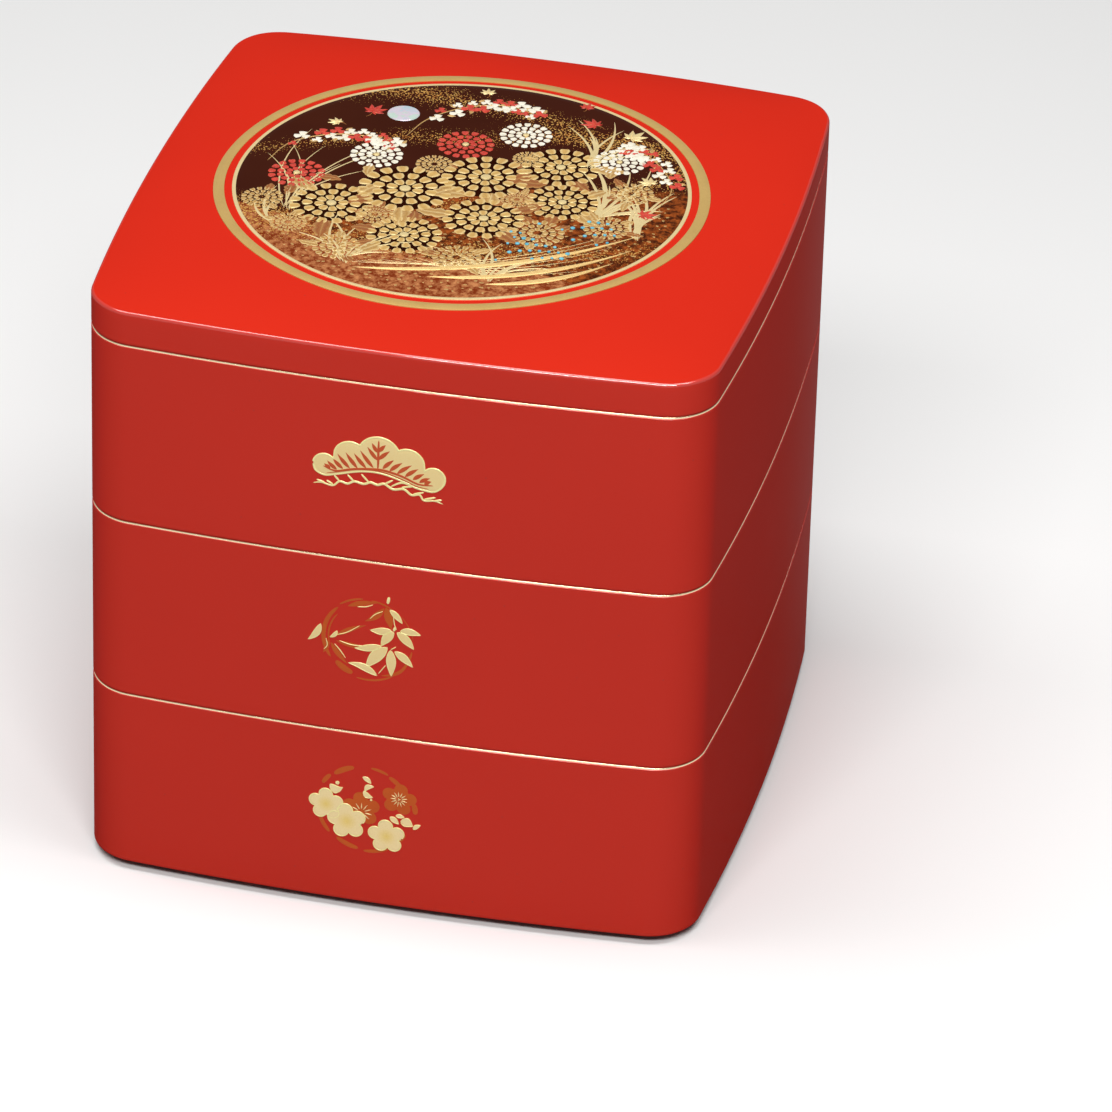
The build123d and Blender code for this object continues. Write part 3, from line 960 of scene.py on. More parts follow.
def leaves_round_flowers(first):
    """Every second leaf, counted from the first. Each stands out from under a flower, turned by the golden
    angle, and only those that end inside the ground and below its dark upper part are kept."""
    number = np.arange(first, len(every_flower) * leaves_each, 2)
    x, y, size = (every_flower[number // leaves_each] * ground_radius).T
    way = direction(number * golden_angle + 0.6 * (number // leaves_each)) * size[:, None]
    starts = np.stack([x, y], -1) + 0.80 * way
    ends = np.stack([x, y], -1) + way * (1.50 + 0.2 * np.sin(number))[:, None]
    low_down = ends[:, 1] < 0.20 * ground_radius + 0.35 * ends[:, 0]
    kept = (np.linalg.norm(ends, axis=1) < ground_radius - 2) & low_down
    starts, ends, size, bends = starts[kept], ends[kept], size[kept], (0.08 * size * np.sin(3 * number))[kept]
    return blades(starts, ends, 0.50 * size, bends, 0.18, lobed_width, vein_section, 17, motif_seat)


lid_motif("chrysanthemum_leaves", [leaves_round_flowers(0)], bronze_gold)
lid_motif("chrysanthemum_leaves_gold", [leaves_round_flowers(1)], small_gold)

# %% Pampas grass
def grass_fan(root, count, lengths, first, last, bend, width):
    """Blades that rise from one root between two directions, in degrees from the right. Their lengths swing
    between the least and the most."""
    share = np.linspace(0, 1, count)
    least, most = np.array(lengths) * ground_radius
    reach = least + (most - least) * (0.5 + 0.5 * np.sin(17.0 * share + root[0]))
    start = np.array(root) * ground_radius + np.stack([np.cos(share * 9), np.sin(share * 7)], -1) * 1.2
    end = start + direction(np.radians(first + (last - first) * share)) * reach[:, None]
    return start, end, np.full(count, width), bend * reach * np.sign(share - 0.45)


fans = (
    grass_fan((-0.70, -0.40), 13, (0.42, 0.80), 132, 58, 0.10, 0.75),
    grass_fan((0.62, -0.16), 15, (0.30, 0.60), 112, 24, 0.10, 1.5),
    grass_fan((0.84, -0.26), 13, (0.22, 0.52), 120, 70, 0.10, 1.5),
    grass_fan((0.50, 0.32), 11, (0.26, 0.50), 118, 40, 0.10, 1.3),
    grass_fan((-0.34, -0.80), 15, (0.20, 0.50), 176, 30, 0.12, 1.2),
    grass_fan((-0.74, -0.52), 11, (0.14, 0.34), 172, 90, 0.12, 1.2),
    grass_fan((0.30, -0.80), 11, (0.18, 0.40), 160, 20, 0.12, 1.2),
)
grass = [np.concatenate(parts) for parts in zip(*fans)]
inside = np.linalg.norm(grass[1], axis=1) < ground_radius - 2.5
grass = [part[inside] for part in grass]
grass_set = blades(*grass, 0.16, grass_width, dome_section, 15, motif_seat)
lid_motif("pampas_grass", [grass_set], bright_gold)

# %% [markdown]
# ## Gold flakes
# Below the flowers the ground is strewn with cut gold flakes, each a tiny blade. Their places follow a
# sunflower spiral, so they spread evenly without rows.

# %% Gold flakes
flake_count = 1500
number = np.arange(flake_count)
away = np.sqrt((number + 0.5) / flake_count) * (ground_radius - 2.5)
flake_at = away[:, None] * direction(number * golden_angle)
strewn = flake_at[:, 1] < 0.30 * flake_at[:, 0] - 0.22 * ground_radius
flake_at, number = flake_at[strewn], number[strewn]
flake_reach = 0.7 + 0.9 * np.abs(np.sin(number * 0.7))
flake_ends = flake_at + direction(number * 1.3) * (1, 0.5) * flake_reach[:, None]
flakes = blades(flake_at, flake_ends, 0.55 * flake_reach, 0, 0.12, petal_width, flat_section, 5, motif_seat)
lid_motif("gold_flakes", [flakes], small_gold)

# %% [markdown]
# ## Bush clover
# Sprays of bush clover arch over the dark ground. A spray is one drawn stem with small florets in red and
# white along it, more of them towards its tip, and a few tiny leaves. Each floret is three short petals.

# %% Bush clover
spray_shares = (
    [(-0.90, 0.02), (-0.84, 0.22), (-0.68, 0.34), (-0.50, 0.36), (-0.36, 0.30)],
    [(-0.36, 0.40), (-0.30, 0.60), (-0.16, 0.76), (0.02, 0.82), (0.18, 0.76)],
    [(0.88, 0.04), (0.90, 0.22), (0.84, 0.38), (0.72, 0.52), (0.60, 0.56)],
)
florets_each, clover_leaves_each = 20, 12
petal_turns = (90, 205, 335)


def florets(line, count, phase):
    """Places along a stem, closer together towards its tip and alternately on its left and right."""
    share = 0.25 + 0.75 * ((np.arange(count) + phase) / count) ** 0.7
    spot = share.clip(0, 1) * (len(line) - 1)
    below = np.floor(spot).astype(int).clip(0, len(line) - 2)
    way = line[below + 1] - line[below]
    at = line[below] + (spot - below)[:, None] * way
    side = np.stack([-way[:, 1], way[:, 0]], -1) / np.linalg.norm(way, axis=1, keepdims=True)
    number = np.arange(count)
    offset = np.where(number % 2, 1, -1) * (0.8 + 1.5 * np.abs(np.sin(number * 2.3 + phase)))
    return at + side * offset[:, None], number


red_parts, white_parts, leaf_parts, stems = [], [], [], []
for spray, points in enumerate(spray_shares):
    stem_line = drawn(points, 9) * ground_radius
    stems.append(strokes(stem_line, 0.42, 0.14, dome_section, seat=motif_seat))
    at, number = florets(stem_line, florets_each, 0.3 * spray)
    size = 1.4 + 1.0 * np.abs(np.sin(number * 1.7 + spray))
    is_red = (number * 7 + spray * 3) % 5 < 2
    for turn in petal_turns:
        ends = at + direction(np.radians(turn + 25 * np.sin(number * 3.1))) * size[:, None]
        for chosen, parts in ((is_red, red_parts), (~is_red, white_parts)):
            parts.append(blades(at[chosen], ends[chosen], 1.25 * size[chosen], 0, 0.20, petal_width,
                                dome_section, 7, motif_seat))
    leaf_at, number = florets(stem_line, clover_leaves_each, 0.7)
    ends = leaf_at + direction(number * golden_angle) * 2.6
    leaf_parts.append(blades(leaf_at, ends, 1.3, 0.1, 0.14, leaf_width, vein_section, 9, motif_seat))
lid_motif("clover_florets_red", red_parts, red_enamel)
lid_motif("clover_florets_white", white_parts, white_enamel)
lid_motif("clover_stems_and_leaves", stems + leaf_parts, small_gold)

# %% [markdown]
# ## Maple leaves
# Red and gold maple leaves drift over the dark upper part. Each is seven pointed leaves that fan from one
# point, with the middle one longest, and a thin stalk.

# %% Maple leaves
# Place as shares of the ground's radius, then the leaf's length and the way that it points, in degrees
maple_places = np.array([
    (-0.56, 0.60, 5.2, 70), (-0.10, 0.92, 3.6, 100), (0.44, 0.74, 5.0, 150), (0.62, 0.66, 5.6, 60),
    (0.82, -0.04, 5.0, 20), (0.80, 0.26, 4.4, 140), (0.36, 0.90, 3.6, 80), (-0.68, 0.46, 3.6, 160),
])
lobe_turns = np.radians([-118, -74, -36, 0, 36, 74, 118])
lobe_lengths = np.array([0.42, 0.68, 0.90, 1.0, 0.90, 0.68, 0.42])


def maple(rows):
    """Seven pointed lobes for each leaf, all in one call."""
    at = np.repeat(rows[:, :2] * ground_radius, len(lobe_turns), axis=0)
    length = (rows[:, 2:3] * lobe_lengths).ravel()
    ends = at + direction((np.radians(rows[:, 3:]) + lobe_turns).ravel()) * length[:, None]
    return blades(at, ends, 0.34 * length, 0, 0.22, leaf_width, vein_section, 9, motif_seat)


lid_motif("maple_leaves_red", [maple(maple_places[0::2])], red_enamel)
lid_motif("maple_leaves_gold", [maple(maple_places[1::2])], bright_gold)
stalk_starts = maple_places[:, :2] * ground_radius
stalk_ends = stalk_starts + direction(np.radians(maple_places[:, 3]) + pi) * maple_places[:, 2:3] * 0.7
stalks = blades(stalk_starts, stalk_ends, 0.35, 0.5, 0.14, grass_width, dome_section, 9, motif_seat)
lid_motif("maple_stalks", [stalks], bronze_gold)

# %% [markdown]
# ## The stream
# Three runs of water cross the lower right, each with fine ridges along it. Fine gold lines follow them, and
# drops of blue lacquer catch the light between the runs. The moon is a chip of shell.

# %% Stream
# Start and end of each run of water, then the bends of its two banks, as shares of the ground's radius
stream_shares = np.array([
    (-0.30, -0.84, 0.88, -0.20, -0.150, -0.115),
    (0.04, -0.84, 0.86, -0.36, -0.110, -0.075),
    (0.30, -0.84, 0.80, -0.50, -0.075, -0.040),
]) * ground_radius
ripple_across = np.linspace(-1, 1, 15)
ripple = 0.5 + 0.5 * np.cos(ripple_across * 3 * pi)
# The third column gives the ridge crests the pale edge gold: painted highlights on the ridges
ripple_section = np.column_stack([ripple_across, (0.55 + 0.45 * ripple) * (1 - ripple_across**8), ripple])
ripple_section = np.vstack([ripple_section, (0.9, -0.1, 0), (-0.9, -0.1, 0)])
low, high = stream_shares[:, 4], stream_shares[:, 5]
runs = blades(stream_shares[:, :2], stream_shares[:, 2:4], high - low, (low + high) / 2, 0.30, leaf_width,
              ripple_section, 41, motif_seat)
stream = lid_motif("stream_runs", [runs], relief_gold)
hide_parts("medallion_stream")

# %% Water lines and drops
line_count, drop_count = 7, 40
first_line_shares = np.array([-0.36, -0.80, 0.86, -0.10, -0.16])
step_shares = np.array([0.05, 0.02, -0.03, -0.085, 0.012])
lines = (first_line_shares + step_shares * np.arange(line_count)[:, None]) * ground_radius
water_lines = blades(lines[:, :2], lines[:, 2:4], 0.34, lines[:, 4], 0.12, grass_width, dome_section, 33,
                     motif_seat)
lid_motif("stream_lines", [water_lines], bright_gold)

order = np.arange(drop_count)
drop_x = 0.30 + 0.46 * ((order * 0.618) % 1.0)
drop_y = -0.62 + 0.36 * ((order * 0.382 + 0.13 * order**0.5) % 1.0) + 0.30 * (drop_x - 0.3)
drop_at = np.stack([drop_x, drop_y], -1) * ground_radius
drop_at = drop_at[np.linalg.norm(drop_at, axis=1) < ground_radius - 4]
drop_sizes = 0.42 + 0.30 * ((np.arange(len(drop_at)) * 0.77) % 1.0)
lid_motif("blue_drops", [beads(drop_at, drop_sizes, 0.30, motif_seat + 0.08)], blue_enamel)

# %% The shell moon
shell_lilac, shell_cream = colour(0.74, 0.70, 0.86), colour(0.93, 0.93, 0.90)
shell_blue, shell_pink = colour(0.55, 0.78, 0.84), colour(0.86, 0.72, 0.84)
shell_green = colour(0.66, 0.86, 0.74)
shell_bands = ((0.30, shell_blue), (0.45, shell_pink), (0.58, shell_green))


def shell_finish():
    """Mother-of-pearl: bands of pale pink, green and blue that run through each other, polished."""
    finish = Finish("pearl_shell", Specular_IOR_Level=0.6, Coat_Roughness=0.05)
    bands = finish.noise(260.0, 3.0, 0.6)
    fine = finish.noise(900.0, 2.0)
    share = (bands + 0.25 * fine - 0.12).clamped()
    ramp = finish.node("ShaderNodeValToRGB", values={0: share})
    stops = ramp.socket.node.color_ramp.elements
    for position, shade in shell_bands:
        stops.new(position).color = shade
    stops[0].color, stops[-1].color = shell_lilac, shell_cream
    finish.feed(
        Base_Color=ramp,
        Metallic=0.35 + 0.2 * fine,
        Roughness=0.16 + 0.14 * fine,
        Normal=finish.bump(bands, 0.00004, 0.4),
    )
    return finish.material


pearl_at, pearl_radius = np.array([(-0.42, 0.62)]) * ground_radius, 4.6
pearl_disc = beads(pearl_at, [pearl_radius], 0.30, motif_seat, rings=8, spokes=48)
pearl = lid_motif("pearl_moon_shell", [pearl_disc], shell_finish())
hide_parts("pearl_moon")

# %% [markdown]
# ## The pine crest
# The upper tier bears a pine: a cloud of five lobes with needles cut into it and a twig below. The cloud is
# a sheet between two lines over its width. Its upper line is the top of whichever lobe is highest there, its
# lower line is drawn through listed points. A brighter raised edge runs round it, and the needles are strokes
# of red.

# %% Pine cloud
crest_rise = 0.16
edge_rise = 0.19
pine_at = (-2.4, foot_height + 2 * tier_height + 28.9)
# Middle and radius of each lobe of the cloud
lobes = np.array([(-15.1, -0.5, 3.2), (-7.9, 2.9, 4.6), (0.0, 4.2, 5.9), (7.9, 2.9, 4.6), (15.1, -0.5, 3.2)])
lower_line = np.array([
    (-18.3, -0.5), (-17.6, -2.6), (-15.1, -3.7), (-11.9, -3.0), (-5.0, -1.1), (0.8, -0.9), (7.2, -2.6),
    (10.3, -3.9), (14.6, -4.5), (16.6, -3.6), (17.9, -2.0), (18.3, -0.5),
])


cloud_half, cloud_edge_half = 18.28, 18.25
cloud_shares = np.array([0, 0.03, 0.12, 0.3, 0.5, 0.7, 0.88, 0.97, 1.0, 0.97, 0.03])
cloud_rises = np.array([0, 0.8, 1, 1, 1, 1, 1, 0.8, 0, -0.1, -0.1])


def cloud_lines(x):
    """Upper and lower line of the cloud at each place across it."""
    lobe_x, lobe_z, lobe_radius = lobes.T[:, :, None]
    tops = lobe_z + np.sqrt(np.clip(lobe_radius**2 - (x - lobe_x) ** 2, 0, None))
    reached = np.abs(x - lobe_x) <= lobe_radius
    upper = np.where(reached, tops, -9.0).max(axis=0)
    smooth = drawn(lower_line, 8)
    lower = np.interp(x, smooth[:, 0], smooth[:, 1])
    return upper, np.minimum(lower, upper)


def pine_cloud():
    """A sheet between the cloud's lower and upper line, lower at its ends."""
    x = cloud_half * np.sin(np.linspace(-pi / 2, pi / 2, 181))
    upper, lower = cloud_lines(x)
    z = lower[:, None] + (upper - lower)[:, None] * cloud_shares
    ends = np.sqrt(np.clip(1 - (x / cloud_half) ** 2, 0, 1))[:, None] ** 0.3
    plan = np.stack([np.broadcast_to(x[:, None], z.shape), z], -1)
    return plan[None], (crest_rise * cloud_rises * ends)[None]


def pine_edge():
    """The line round the cloud: along its top and back along its underside."""
    x = cloud_edge_half * np.sin(np.linspace(-pi / 2, pi / 2, 160))
    upper, lower = cloud_lines(x)
    return np.vstack([np.column_stack([x, upper]), np.column_stack([x, lower])[::-1][1:-1]])


cloud = crest_motif("pine_cloud", [pine_cloud()], pine_at, "upper", crest_gold)
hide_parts("pine_crest")

# %% Edge and twig of the pine
twig_line = [
    (-18.3, -6.7), (-16, -6.2), (-12.8, -6.7), (-10.9, -5.1), (-8.7, -5.5), (-6.8, -4.5), (-4.2, -4.9),
    (-2.3, -4.1), (-0.4, -4.6), (1.5, -4.0), (4.0, -5.3), (6.9, -4.8), (9.1, -6.3), (11.3, -5.9),
    (12.6, -7.5), (15.5, -7.2), (17.9, -7.9),
]
struts = [
    [(-12.5, -3.3), (-10.9, -5.1)], [(-8.8, -2.6), (-6.8, -4.6)], [(-5.0, -1.8), (-2.6, -4.3)],
    [(-17.4, -5.5), (-14.8, -6.2)], [(-14.6, -5.3), (-12.6, -6.4)], [(1.5, -4.1), (4.0, -2.4)],
    [(3.2, -4.6), (6.4, -2.9), (9.2, -3.6)], [(8.9, -5.9), (6.6, -4.4), (9.8, -3.6)],
    [(9.4, -6.0), (12.6, -5.0)], [(12.4, -7.2), (15.9, -6.1)], [(15.2, -7.3), (17.6, -6.6)],
]
twig_width, strut_width = 0.78, 0.62
raised_lines = [strokes(pine_edge(), strut_width, edge_rise, closed=True)]
raised_lines += [strokes(drawn(twig_line, 5), twig_width, edge_rise)]
raised_lines += [strokes(drawn(points, 6), strut_width, edge_rise) for points in struts]
crest_motif("pine_edge_and_twig", raised_lines, pine_at, "upper", crest_bright_gold)

# %% Pine needles
needle_rise = 0.05
needle_seat = crest_rise - 0.01
base_line = [
    (-15.6, -0.9), (-12, -1.9), (-6.9, -0.6), (-0.2, 0.3), (3.9, -0.2), (7.1, -1.1), (11, -2.6), (15.2, -2.5),
]
# Root and tip of each needle
needle_ends = np.array([
    (-13.4, -1.3, -15.2, -0.1), (-11.6, -1.5, -14.4, 0.9), (-9.9, -1.0, -12.9, 1.9), (-8.0, -0.6, -11.6, 3.5),
    (-5.8, -0.3, -9.3, 4.3), (-3.4, 0.1, -7.0, 4.4), (-1.4, 0.5, -5.3, 5.6),
    (1.0, 0.6, 4.2, 3.9), (2.9, 0.2, 6.6, 3.4), (5.0, -0.3, 9.2, 3.0), (7.2, -0.9, 11.0, 2.1),
    (9.4, -1.5, 12.6, 0.8), (11.2, -2.1, 14.2, -0.3), (12.6, -2.4, 14.6, -1.3),
    (-0.2, 3.0, -3.3, 7.0), (-0.2, 5.4, -2.0, 8.3), (-0.2, 3.2, 3.1, 6.5), (-0.1, 5.6, 1.9, 8.2),
])
stem_line = [(-0.3, 0.3), (-0.2, 3.0), (-0.2, 6.0), (-0.1, 9.4)]
under_line = [
    (-14.6, -3.0), (-11.6, -2.2), (-5.4, -0.5), (0.8, -0.3), (6.8, -1.9), (10.4, -3.3), (14.0, -3.7),
]
roots, tips = needle_ends[:, :2], needle_ends[:, 2:]
needles = [blades(roots, tips, 1.2, 0.15, needle_rise, leaf_width, flat_section, 11, needle_seat)]
for points, steps, width in ((stem_line, 5, 0.7), (base_line, 8, 0.72), (under_line, 8, 0.34)):
    needles.append(strokes(drawn(points, steps), width, needle_rise, flat_section, seat=needle_seat))
needle_red = gold("needle_red", colour(0.56, 0.030, 0.006), colour(0.68, 0.13, 0.015), 0.35, 0.1)
crest_motif("pine_needles", needles, pine_at, "upper", needle_red)

# %% [markdown]
# ## The bamboo crest
# The middle tier bears bamboo in a ring: full leaves in pale gold in front, and stalk, ring and back leaves
# in a thin warm wash with single bright edges. The wash is the same solid, only much lower.

# %% Bamboo leaves
bamboo_at = (-6.0, foot_height + tier_height + 30.4)
# Root and tip, width and bend of each leaf
bamboo_leaves = np.array([
    (7.9, 3.8, 1.7, 3.1, 2.0, 0.3), (8.5, 3.6, 4.9, -1.6, 2.4, -0.3), (9.3, 3.6, 14.2, -1.3, 2.3, 0.3),
    (10.1, 4.0, 16.1, 3.5, 1.9, 0.4), (7.2, 10.4, 10.9, 6.4, 1.5, 0.2), (5.2, -1.5, -2.7, -3.3, 1.9, 0.3),
    (6.8, -1.6, 0.6, -9.3, 3.2, -0.4), (7.6, -2.3, 7.9, -10.9, 2.5, 0.1), (8.7, -2.6, 14.0, -7.0, 2.1, 0.3),
    (4.0, -11.2, -4.4, -8.3, 1.9, -0.9), (-12.1, 2.9, -15.8, -2.8, 1.7, 0.7),
    (-7.4, 1.4, -9.6, -1.0, 0.9, 0.4),
])


def flat_leaves(rows, rise, stations):
    """Leaves from a table of roots, tips, widths and bends, flat on top."""
    return blades(rows[:, :2], rows[:, 2:4], rows[:, 4], rows[:, 5], rise, leaf_width, flat_section, stations)


bamboo_set = [flat_leaves(bamboo_leaves, crest_rise, 17)]
leaves = crest_motif("bamboo_leaves", bamboo_set, bamboo_at, "middle", crest_gold)
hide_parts("bamboo_crest")

# %% Bright edges of the bamboo
def leaf_edges(rows, width=0.34, steps=25):
    """Bright lines along both sides of each leaf: its middle line moved out by half the width there."""
    lines = []
    share = np.linspace(0.02, 0.98, steps)[:, None]
    for x0, z0, x1, z1, wide, bend in rows:
        start, run = np.array([x0, z0]), np.array([x1 - x0, z1 - z0])
        across = np.array([-run[1], run[0]]) / np.hypot(*run)
        line = start + share * run + 4 * share * (1 - share) * bend * across
        out = leaf_width(share) * wide / 2 * across
        lines += [strokes(line + out, width, edge_rise), strokes(line - out, width, edge_rise)]
    return lines


fine_accents = [
    [(-1.9, 9.9), (0.6, 10.3), (2.6, 11.2)], [(1.6, 6.5), (3.2, 8.3), (5.4, 9.6)],
    [(8.2, 9.0), (8.6, 6.0), (9.2, 4.2)], [(-7.6, 0.1), (-4.6, 1.4), (-1.0, 4.1)],
    [(-6.9, -1.6), (-3.4, -2.4), (0.4, -2.2)], [(-10.6, -1.4), (-10.2, -3.6), (-11.2, -5.2)],
    [(-8.2, -2.8), (-6.6, -4.6), (-4.9, -7.0)], [(5.4, 1.4), (5.0, 0.0)], [(9.2, -1.1), (7.6, -2.3)],
    [(4.2, -10.6), (6.4, -7.3)],
]
accents = [(points, 0.30) for points in fine_accents]
accents += [([(7.0, 14.4), (6.6, 12.0)], 0.9), ([(8.9, 5.2), (8.4, 3.7)], 0.8)]
bright_lines = leaf_edges(bamboo_leaves)
bright_lines += [strokes(drawn(points, 7), width, edge_rise) for points, width in accents]
crest_motif("bamboo_edges", bright_lines, bamboo_at, "middle", crest_bright_gold)

# %% Wash behind the bamboo
wash_rise = 0.03
bamboo_middle = (1.1, -0.3)
# First and last direction, radius and width of each brush stroke of the ring
ring_strokes = (
    (96, 128, 12.9, 0.6), (58, 86, 12.7, 0.5), (132, 214, 12.4, 1.25), (140, 196, 11.0, 0.45),
    (222, 250, 11.8, 1.9), (256, 306, 12.6, 0.6), (312, 352, 12.6, 0.7), (8, 44, 12.9, 0.3),
)
wash_leaves = np.array([
    (-4.6, 9.6, 4.0, 11.9, 1.6, 0.5), (5.6, 10.6, 0.2, 5.6, 1.9, 0.6), (-8.0, -0.4, 0.8, 4.4, 1.5, 0.4),
    (-7.8, -1.8, 2.6, -2.9, 1.5, -0.3), (-9.2, -2.6, -4.4, -8.8, 1.6, -0.3),
    (-10.0, -2.2, -11.4, -6.2, 1.3, 0.3), (6.2, 11.0, 7.8, 4.0, 2.4, 0.0),
    (5.0, -10.9, 13.0, -4.0, 1.0, -2.0),
])


def arc(middle, radius, first, last, steps):
    """Part of a circle between two directions in degrees: the middle, and the radius times each step."""
    return middle + radius * direction(np.radians(np.linspace(first, last, steps)))


def brushed(table, middle, rise, steps=30):
    """Flat strokes along arcs about one middle, from a table of directions, radii and widths."""
    return [strokes(arc(middle, radius, first, last, steps), width, rise, flat_section)
            for first, last, radius, width in table]


wash = [flat_leaves(wash_leaves, wash_rise, 13)] + brushed(ring_strokes, bamboo_middle, wash_rise)
crest_motif("bamboo_wash", wash, bamboo_at, "middle", faint_gold)

# %% [markdown]
# ## The plum crest
# The lower tier bears plum: three blossoms in pale gold with yellower middles, buds at the sides, and behind
# them blossoms and dabs of cloud in the warm wash, two with bright bursts of stamens.

# %% Gold for the blossoms
plum_at = (-4.8, foot_height + 30.2)
# Middle, radius and turn of each gold blossom
plum_rows = np.array([(-11.2, 0.4, 4.9, 92), (-5.2, -4.2, 5.5, 98), (6.1, -7.4, 5.2, 95)])


def blossom_gold():
    """Pale gold that turns yellower towards each blossom's middle, worked out from the distance to it."""
    finish = Finish("blossom_gold", Metallic=0.40, Specular_IOR_Level=0.4)
    at = finish.place()
    powder = finish.noise(grain_scale, 3.0, 0.7)
    near_middle = 0.0
    for x, z, radius, _ in plum_rows:
        flower_at = Vector((x + plum_at[0], -half_width, z + plum_at[1])) * millimetre
        away = finish.node("ShaderNodeVectorMath", {"operation": "DISTANCE"}, {0: at, 1: flower_at}, "Value")
        near_middle = near_middle + (1 - away / (0.55 * radius * millimetre)).clamped()
    pale = finish.blend(powder, colour(0.82, 0.64, 0.29), colour(0.97, 0.82, 0.46))
    yellow = finish.blend(powder, colour(0.72, 0.50, 0.10), colour(0.92, 0.72, 0.20))
    finish.feed(
        Base_Color=finish.blend((near_middle * 0.9).clamped(), pale, yellow),
        Roughness=0.36 + 0.2 * powder,
        Normal=finish.bump(powder, grain_relief, 0.6),
    )
    return finish.material


print("gold blossoms:", len(plum_rows))

# %% Blossoms and buds
# The middle blossom lies a little over its neighbours
plum_seats = (0.0, 0.02, 0.0)
buds = np.array([
    (-10.2, 7.0, -6.4, 6.6, 2.4, -1.3), (-8.2, 8.3, -7.8, 7.2, 0.9, 0.0), (-0.9, 10.9, 1.6, 8.9, 1.2, 0.3),
    (2.4, 8.2, -0.2, 5.9, 1.3, -0.9), (-0.6, 6.4, 2.2, 4.6, 1.5, -0.6), (1.9, 3.9, 1.3, 3.6, 0.4, 0.0),
    (7.0, -0.8, 9.6, -2.9, 1.5, 0.1), (8.6, -0.2, 11.2, -0.4, 1.1, 0.1), (10.0, -1.9, 13.6, -3.0, 2.7, 0.5),
    (13.6, -3.9, 15.8, -2.2, 1.1, 0.2),
])
plum_set = [flat_leaves(buds, crest_rise, 15)]
outlines = leaf_edges(buds, 0.28)
for (x, z, radius, turn), seat in zip(plum_rows, plum_seats):
    plum_set.append(blossoms((x, z), radius, turn, crest_rise, seat=seat))
    outlines.append(strokes(blossom_edge((x, z), radius, turn), 0.40, edge_rise + seat, closed=True))
plums = crest_motif("plum_blossoms", plum_set, plum_at, "lower", blossom_gold())
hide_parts("plum_crest")
crest_motif("plum_edges", outlines, plum_at, "lower", crest_bright_gold)

# %% Stamens and wash
def stamens(middle_at, inner, outer, count, turn):
    """Short bright strokes round a middle."""
    starts, ends = ring_of(np.array(middle_at), inner, outer, count, turn)
    return blades(starts, ends, 0.34, 0, edge_rise - 0.03, leaf_width, dome_section, 7, wash_rise)


first_burst, second_burst = (9.5, 5.2), (-1.1, -0.6)
bursts = [stamens(first_burst, 0.7, 2.5, 13, 0.2), stamens(first_burst, 0.0, 0.5, 3, 0.0)]
bursts += [stamens(second_burst, 0.9, 3.1, 11, -1.3)]
crest_motif("plum_stamens", bursts, plum_at, "lower", bright_gold)

washed_rows = ((-1.1, 0.4, 5.4, 95), (9.5, 5.2, 5.0, 80))
washed = [blossoms((x, z), radius, turn, wash_rise) for x, z, radius, turn in washed_rows]
# First and last direction, radius and width of each dab of cloud round the plum
dabs = (
    (104, 132, 13.4, 1.7), (136, 152, 13.9, 1.3), (62, 84, 13.6, 0.9), (40, 60, 13.2, 1.4),
    (232, 262, 13.2, 1.5), (268, 300, 13.6, 1.1), (196, 222, 13.6, 1.2), (304, 330, 13.3, 0.9),
    (2, 16, 14.2, 1.6),
)
plum_middle, dab_rise = (0, 0.5), 0.7 * wash_rise
crest_motif("plum_wash", washed + brushed(dabs, plum_middle, dab_rise, 16), plum_at, "lower", faint_gold)

# %% [markdown]
# ## Floor and light
# The box stands on a plain pale table. The main lamp is high and a little to the right of the front, so the
# front stays even and the right side falls into shade. A wide soft lamp above lights the lid and gives the
# bright line along its front edge. The world adds only a little light, so the reds stay deep. What the camera
# and the gloss see of the table and the room is paler than what lights the box.

# %% Floor
table_radius = 3.0
table_rings, table_spokes = 25, 96


def pale_table():
    """Nearly white where it is seen, and much darker for the light that it throws back on the box."""
    finish = Finish("pale_table", Specular_IOR_Level=0.2)
    tone = finish.noise(3.0, 3.0)
    grain = finish.noise(700.0, 2.0)
    camera_rays = finish.node("ShaderNodeLightPath")
    rays = camera_rays.socket.node.outputs
    glossy_rays, clear_rays = Wire(finish, rays["Is Glossy Ray"]), Wire(finish, rays["Is Transmission Ray"])
    seen = (camera_rays + glossy_rays + clear_rays).clamped()
    plain = finish.blend(tone, colour(0.93, 0.927, 0.92), colour(0.96, 0.957, 0.95))
    finish.feed(
        Base_Color=finish.blend(seen, colour(0.20, 0.20, 0.20), plain),
        Roughness=0.7 + 0.1 * grain,
    )
    return finish.material


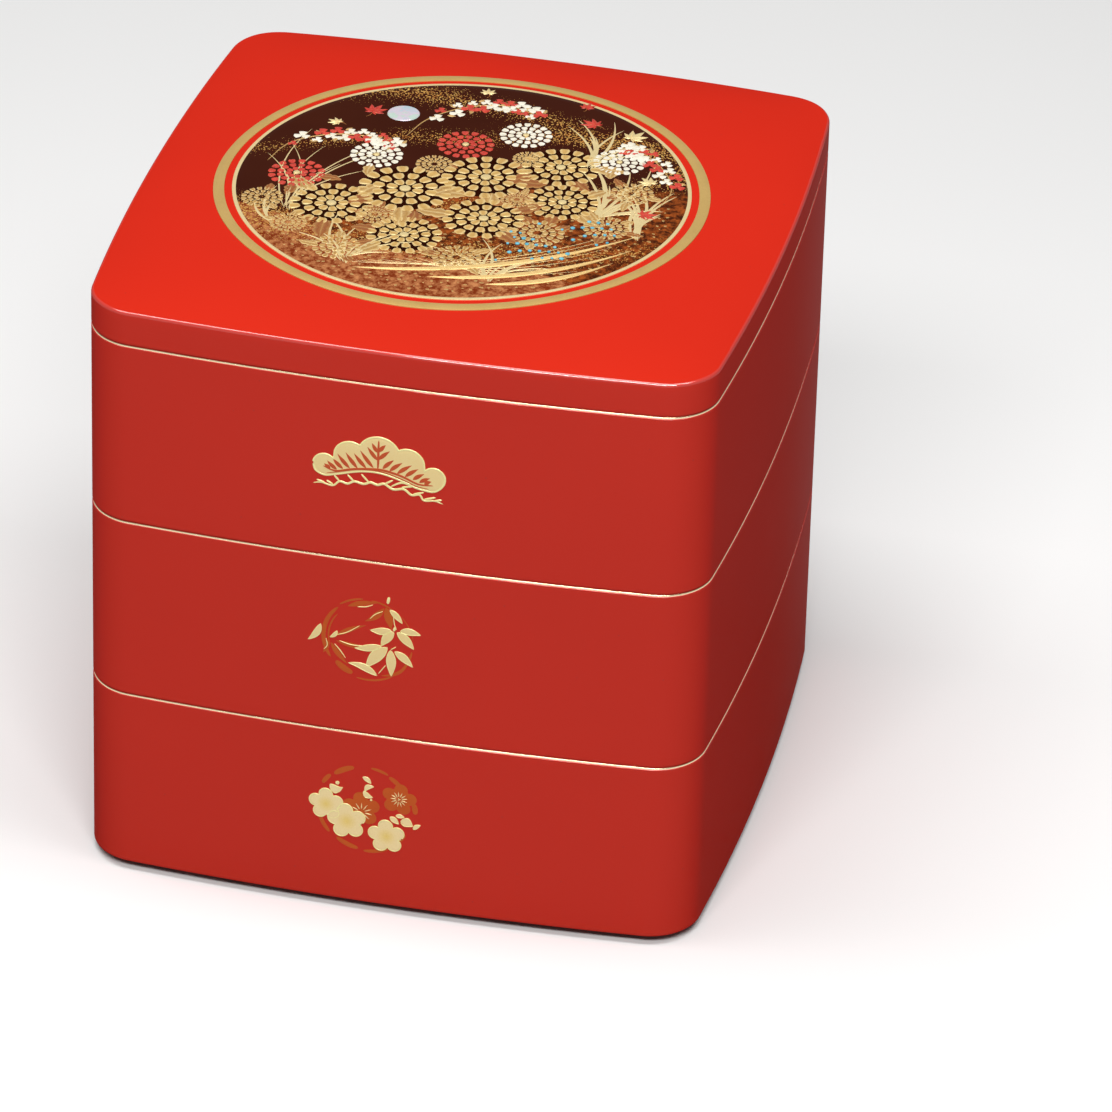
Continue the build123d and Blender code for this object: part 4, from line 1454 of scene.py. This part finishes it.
radius = np.linspace(0, table_radius, table_rings)
plan = radius[:, None, None] * direction(np.linspace(0, 2 * pi, table_spokes, endpoint=False))
table_points = np.concatenate([plan, np.zeros((table_rings, table_spokes, 1))], axis=-1).reshape(-1, 3)
table_mesh = bpy.data.meshes.new("table")
table_faces = grid_faces(table_rings, table_spokes, round_columns=True)
table_mesh.from_pydata(table_points.tolist(), [], table_faces.tolist())
weld(table_mesh)
table_mesh.materials.append(pale_table())
table = bpy.data.objects.new("table", table_mesh)
bpy.context.scene.collection.objects.link(table)
print(f"table: {len(table_mesh.polygons)} faces")

# %% Lamps
lamp_aim = Vector((0, 0, 0.09))


def lamp(name, turn, rise, distance, size, power):
    """An area lamp that looks at the box. Its turn to the right of the front and its rise are in degrees."""
    turn, rise = radians(turn), radians(rise)
    way = Vector((sin(turn) * cos(rise), -cos(turn) * cos(rise), sin(rise)))
    data = bpy.data.lights.new(name, "AREA")
    data.shape = "RECTANGLE"
    data.size, data.size_y = size
    data.energy = power
    holder = bpy.data.objects.new(name, data)
    holder.location = way * distance + lamp_aim
    holder.rotation_euler = way.to_track_quat("Z", "Y").to_euler()
    bpy.context.scene.collection.objects.link(holder)


lamp("main_lamp", 9, 46, 2.0, (1.2, 0.35), 24.5)
lamp("top_lamp", 0, 84, 1.6, (2.0, 0.6), 21.5)
print("lamps:", [light.name for light in bpy.data.lights])

# %% World
world_light, world_seen = 0.09, 0.45
world = bpy.data.worlds.new("studio")
world.use_nodes = True
nodes, links = world.node_tree.nodes, world.node_tree.links
rays, chosen = nodes.new("ShaderNodeLightPath"), nodes.new("ShaderNodeMixShader")
seen = rays.outputs["Is Camera Ray"]
for kind in ("Is Glossy Ray", "Is Transmission Ray"):
    total = nodes.new("ShaderNodeMath")
    links.new(seen, total.inputs[0])
    links.new(rays.outputs[kind], total.inputs[1])
    seen = total.outputs[0]
links.new(seen, chosen.inputs[0])
backgrounds = (nodes["Background"], nodes.new("ShaderNodeBackground"))
for background, strength, socket in zip(backgrounds, (world_light, world_seen), chosen.inputs[1:]):
    background.inputs["Color"].default_value = colour(1, 1, 1)
    background.inputs["Strength"].default_value = strength
    links.new(background.outputs[0], socket)
links.new(chosen.outputs[0], nodes["World Output"].inputs["Surface"])
bpy.context.scene.world = world
print("world light:", world_light, "seen by the camera and the gloss:", world_seen)
